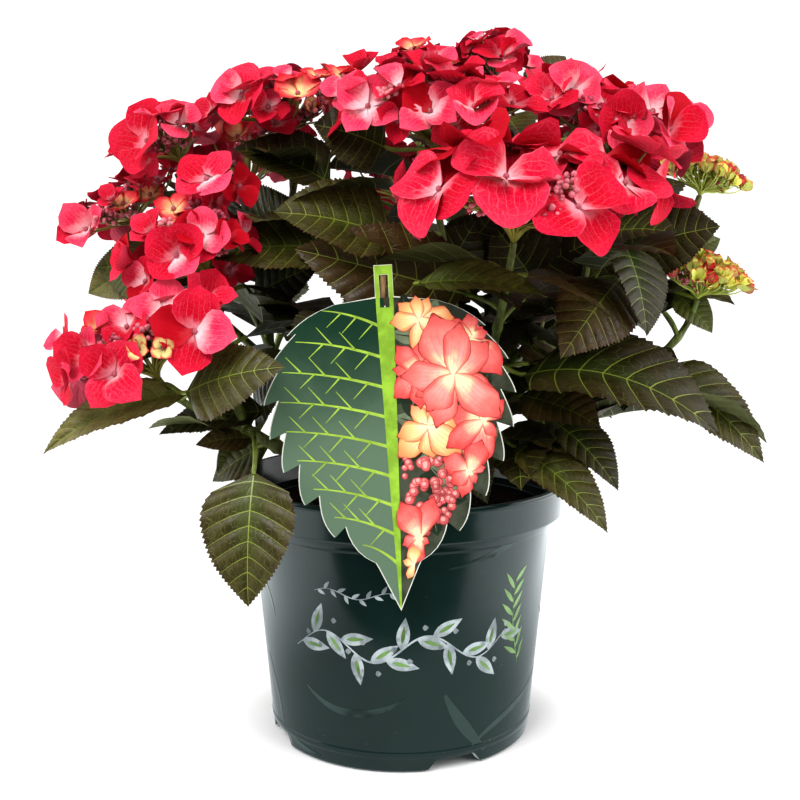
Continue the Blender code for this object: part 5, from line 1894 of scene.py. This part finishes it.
def makeStudio():
    bm = bmesh.new()
    bmesh.ops.create_circle(bm, cap_ends=True, segments=96, radius=studio["floor"])
    material, tree, surface = newMaterial("floorPale", 0.7)
    spot = objectSpot(tree)
    paint(tree, surface, mixColour(tree, clouds(tree, spot, 3.0), *studio["floorTints"]))
    away = addNode(tree, "ShaderNodeVectorMath", {0: spot}, operation="LENGTH").outputs["Value"]
    rays = addNode(tree, "ShaderNodeLightPath").outputs
    clear = times(tree, fade(tree, away, *studio["white"]), rays["Is Camera Ray"])
    glow = addNode(tree, "ShaderNodeEmission", {"Color": (1, 1, 1), "Strength": 1.0})
    both = addNode(tree, "ShaderNodeMixShader", {0: clear, 1: surface.outputs[0], 2: glow.outputs[0]})
    # what a glossy wall mirrors: a pale sweep at the sides, the dark room in front
    across, along = axesOf(tree, spot)[:2]
    aside = fade(tree, maths(tree, "ABSOLUTE", across), *studio["aside"], studio["sweep"])
    strength = times(tree, aside, fade(tree, along, *studio["room"], 1.0, 0.03))
    sweep = addNode(tree, "ShaderNodeEmission", {"Color": studio["sweepTint"], "Strength": strength})
    whole = addNode(tree, "ShaderNodeMixShader",
                    {0: rays["Is Glossy Ray"], 1: both.outputs[0], 2: sweep.outputs[0]})
    tree.links.new(whole.outputs[0], tree.nodes["Material Output"].inputs["Surface"])
    floor = pieceFromShape("floor", bm, [material])
    floor.location.z = -0.0005
    for name, settings in studio["lights"].items():
        addLight(name, *settings)
    world = bpy.data.worlds.new("studioWhite")
    world.use_nodes = True
    tree = world.node_tree
    tree.nodes.clear()
    way = addNode(tree, "ShaderNodeTexCoord").outputs["Generated"]
    level = times(tree, fade(tree, axesOf(tree, way)[2], 0.0, 0.9, 0.12, 1.3), studio["sky"])
    seen = addNode(tree, "ShaderNodeLightPath").outputs["Is Camera Ray"]
    strength = maths(tree, "MULTIPLY_ADD", seen, maths(tree, "SUBTRACT", 1.0, level), level)
    white = addNode(tree, "ShaderNodeBackground", {"Color": (1, 1, 1), "Strength": strength})
    out = addNode(tree, "ShaderNodeOutputWorld")
    tree.links.new(white.outputs[0], out.inputs["Surface"])
    scene = bpy.context.scene
    scene.world = world
    scene.view_settings.view_transform = "Standard"
    scene.view_settings.look = "Medium High Contrast"


addCamera()
makePot()
makePotPrint()
makeMix()
makeCardPlate()
makeCardPrint()
makeCardCane()
layLimbs()
makeStems()
makeLeaves()
headTrees = {name: solidTree("bloom_" + name) for name in blooms}
shownSepals = {name: sepalForm(outline, *flower["shownGrid"]) for name, outline in flower["outlines"].items()}
fillSepals = {name: sepalForm(outline, *flower["fillGrid"]) for name, outline in flower["outlines"].items()}
beadShape = beadForm(*flower["beadGrid"])
beads = beadShape["places"]
makeFlowers()
makeStudio()
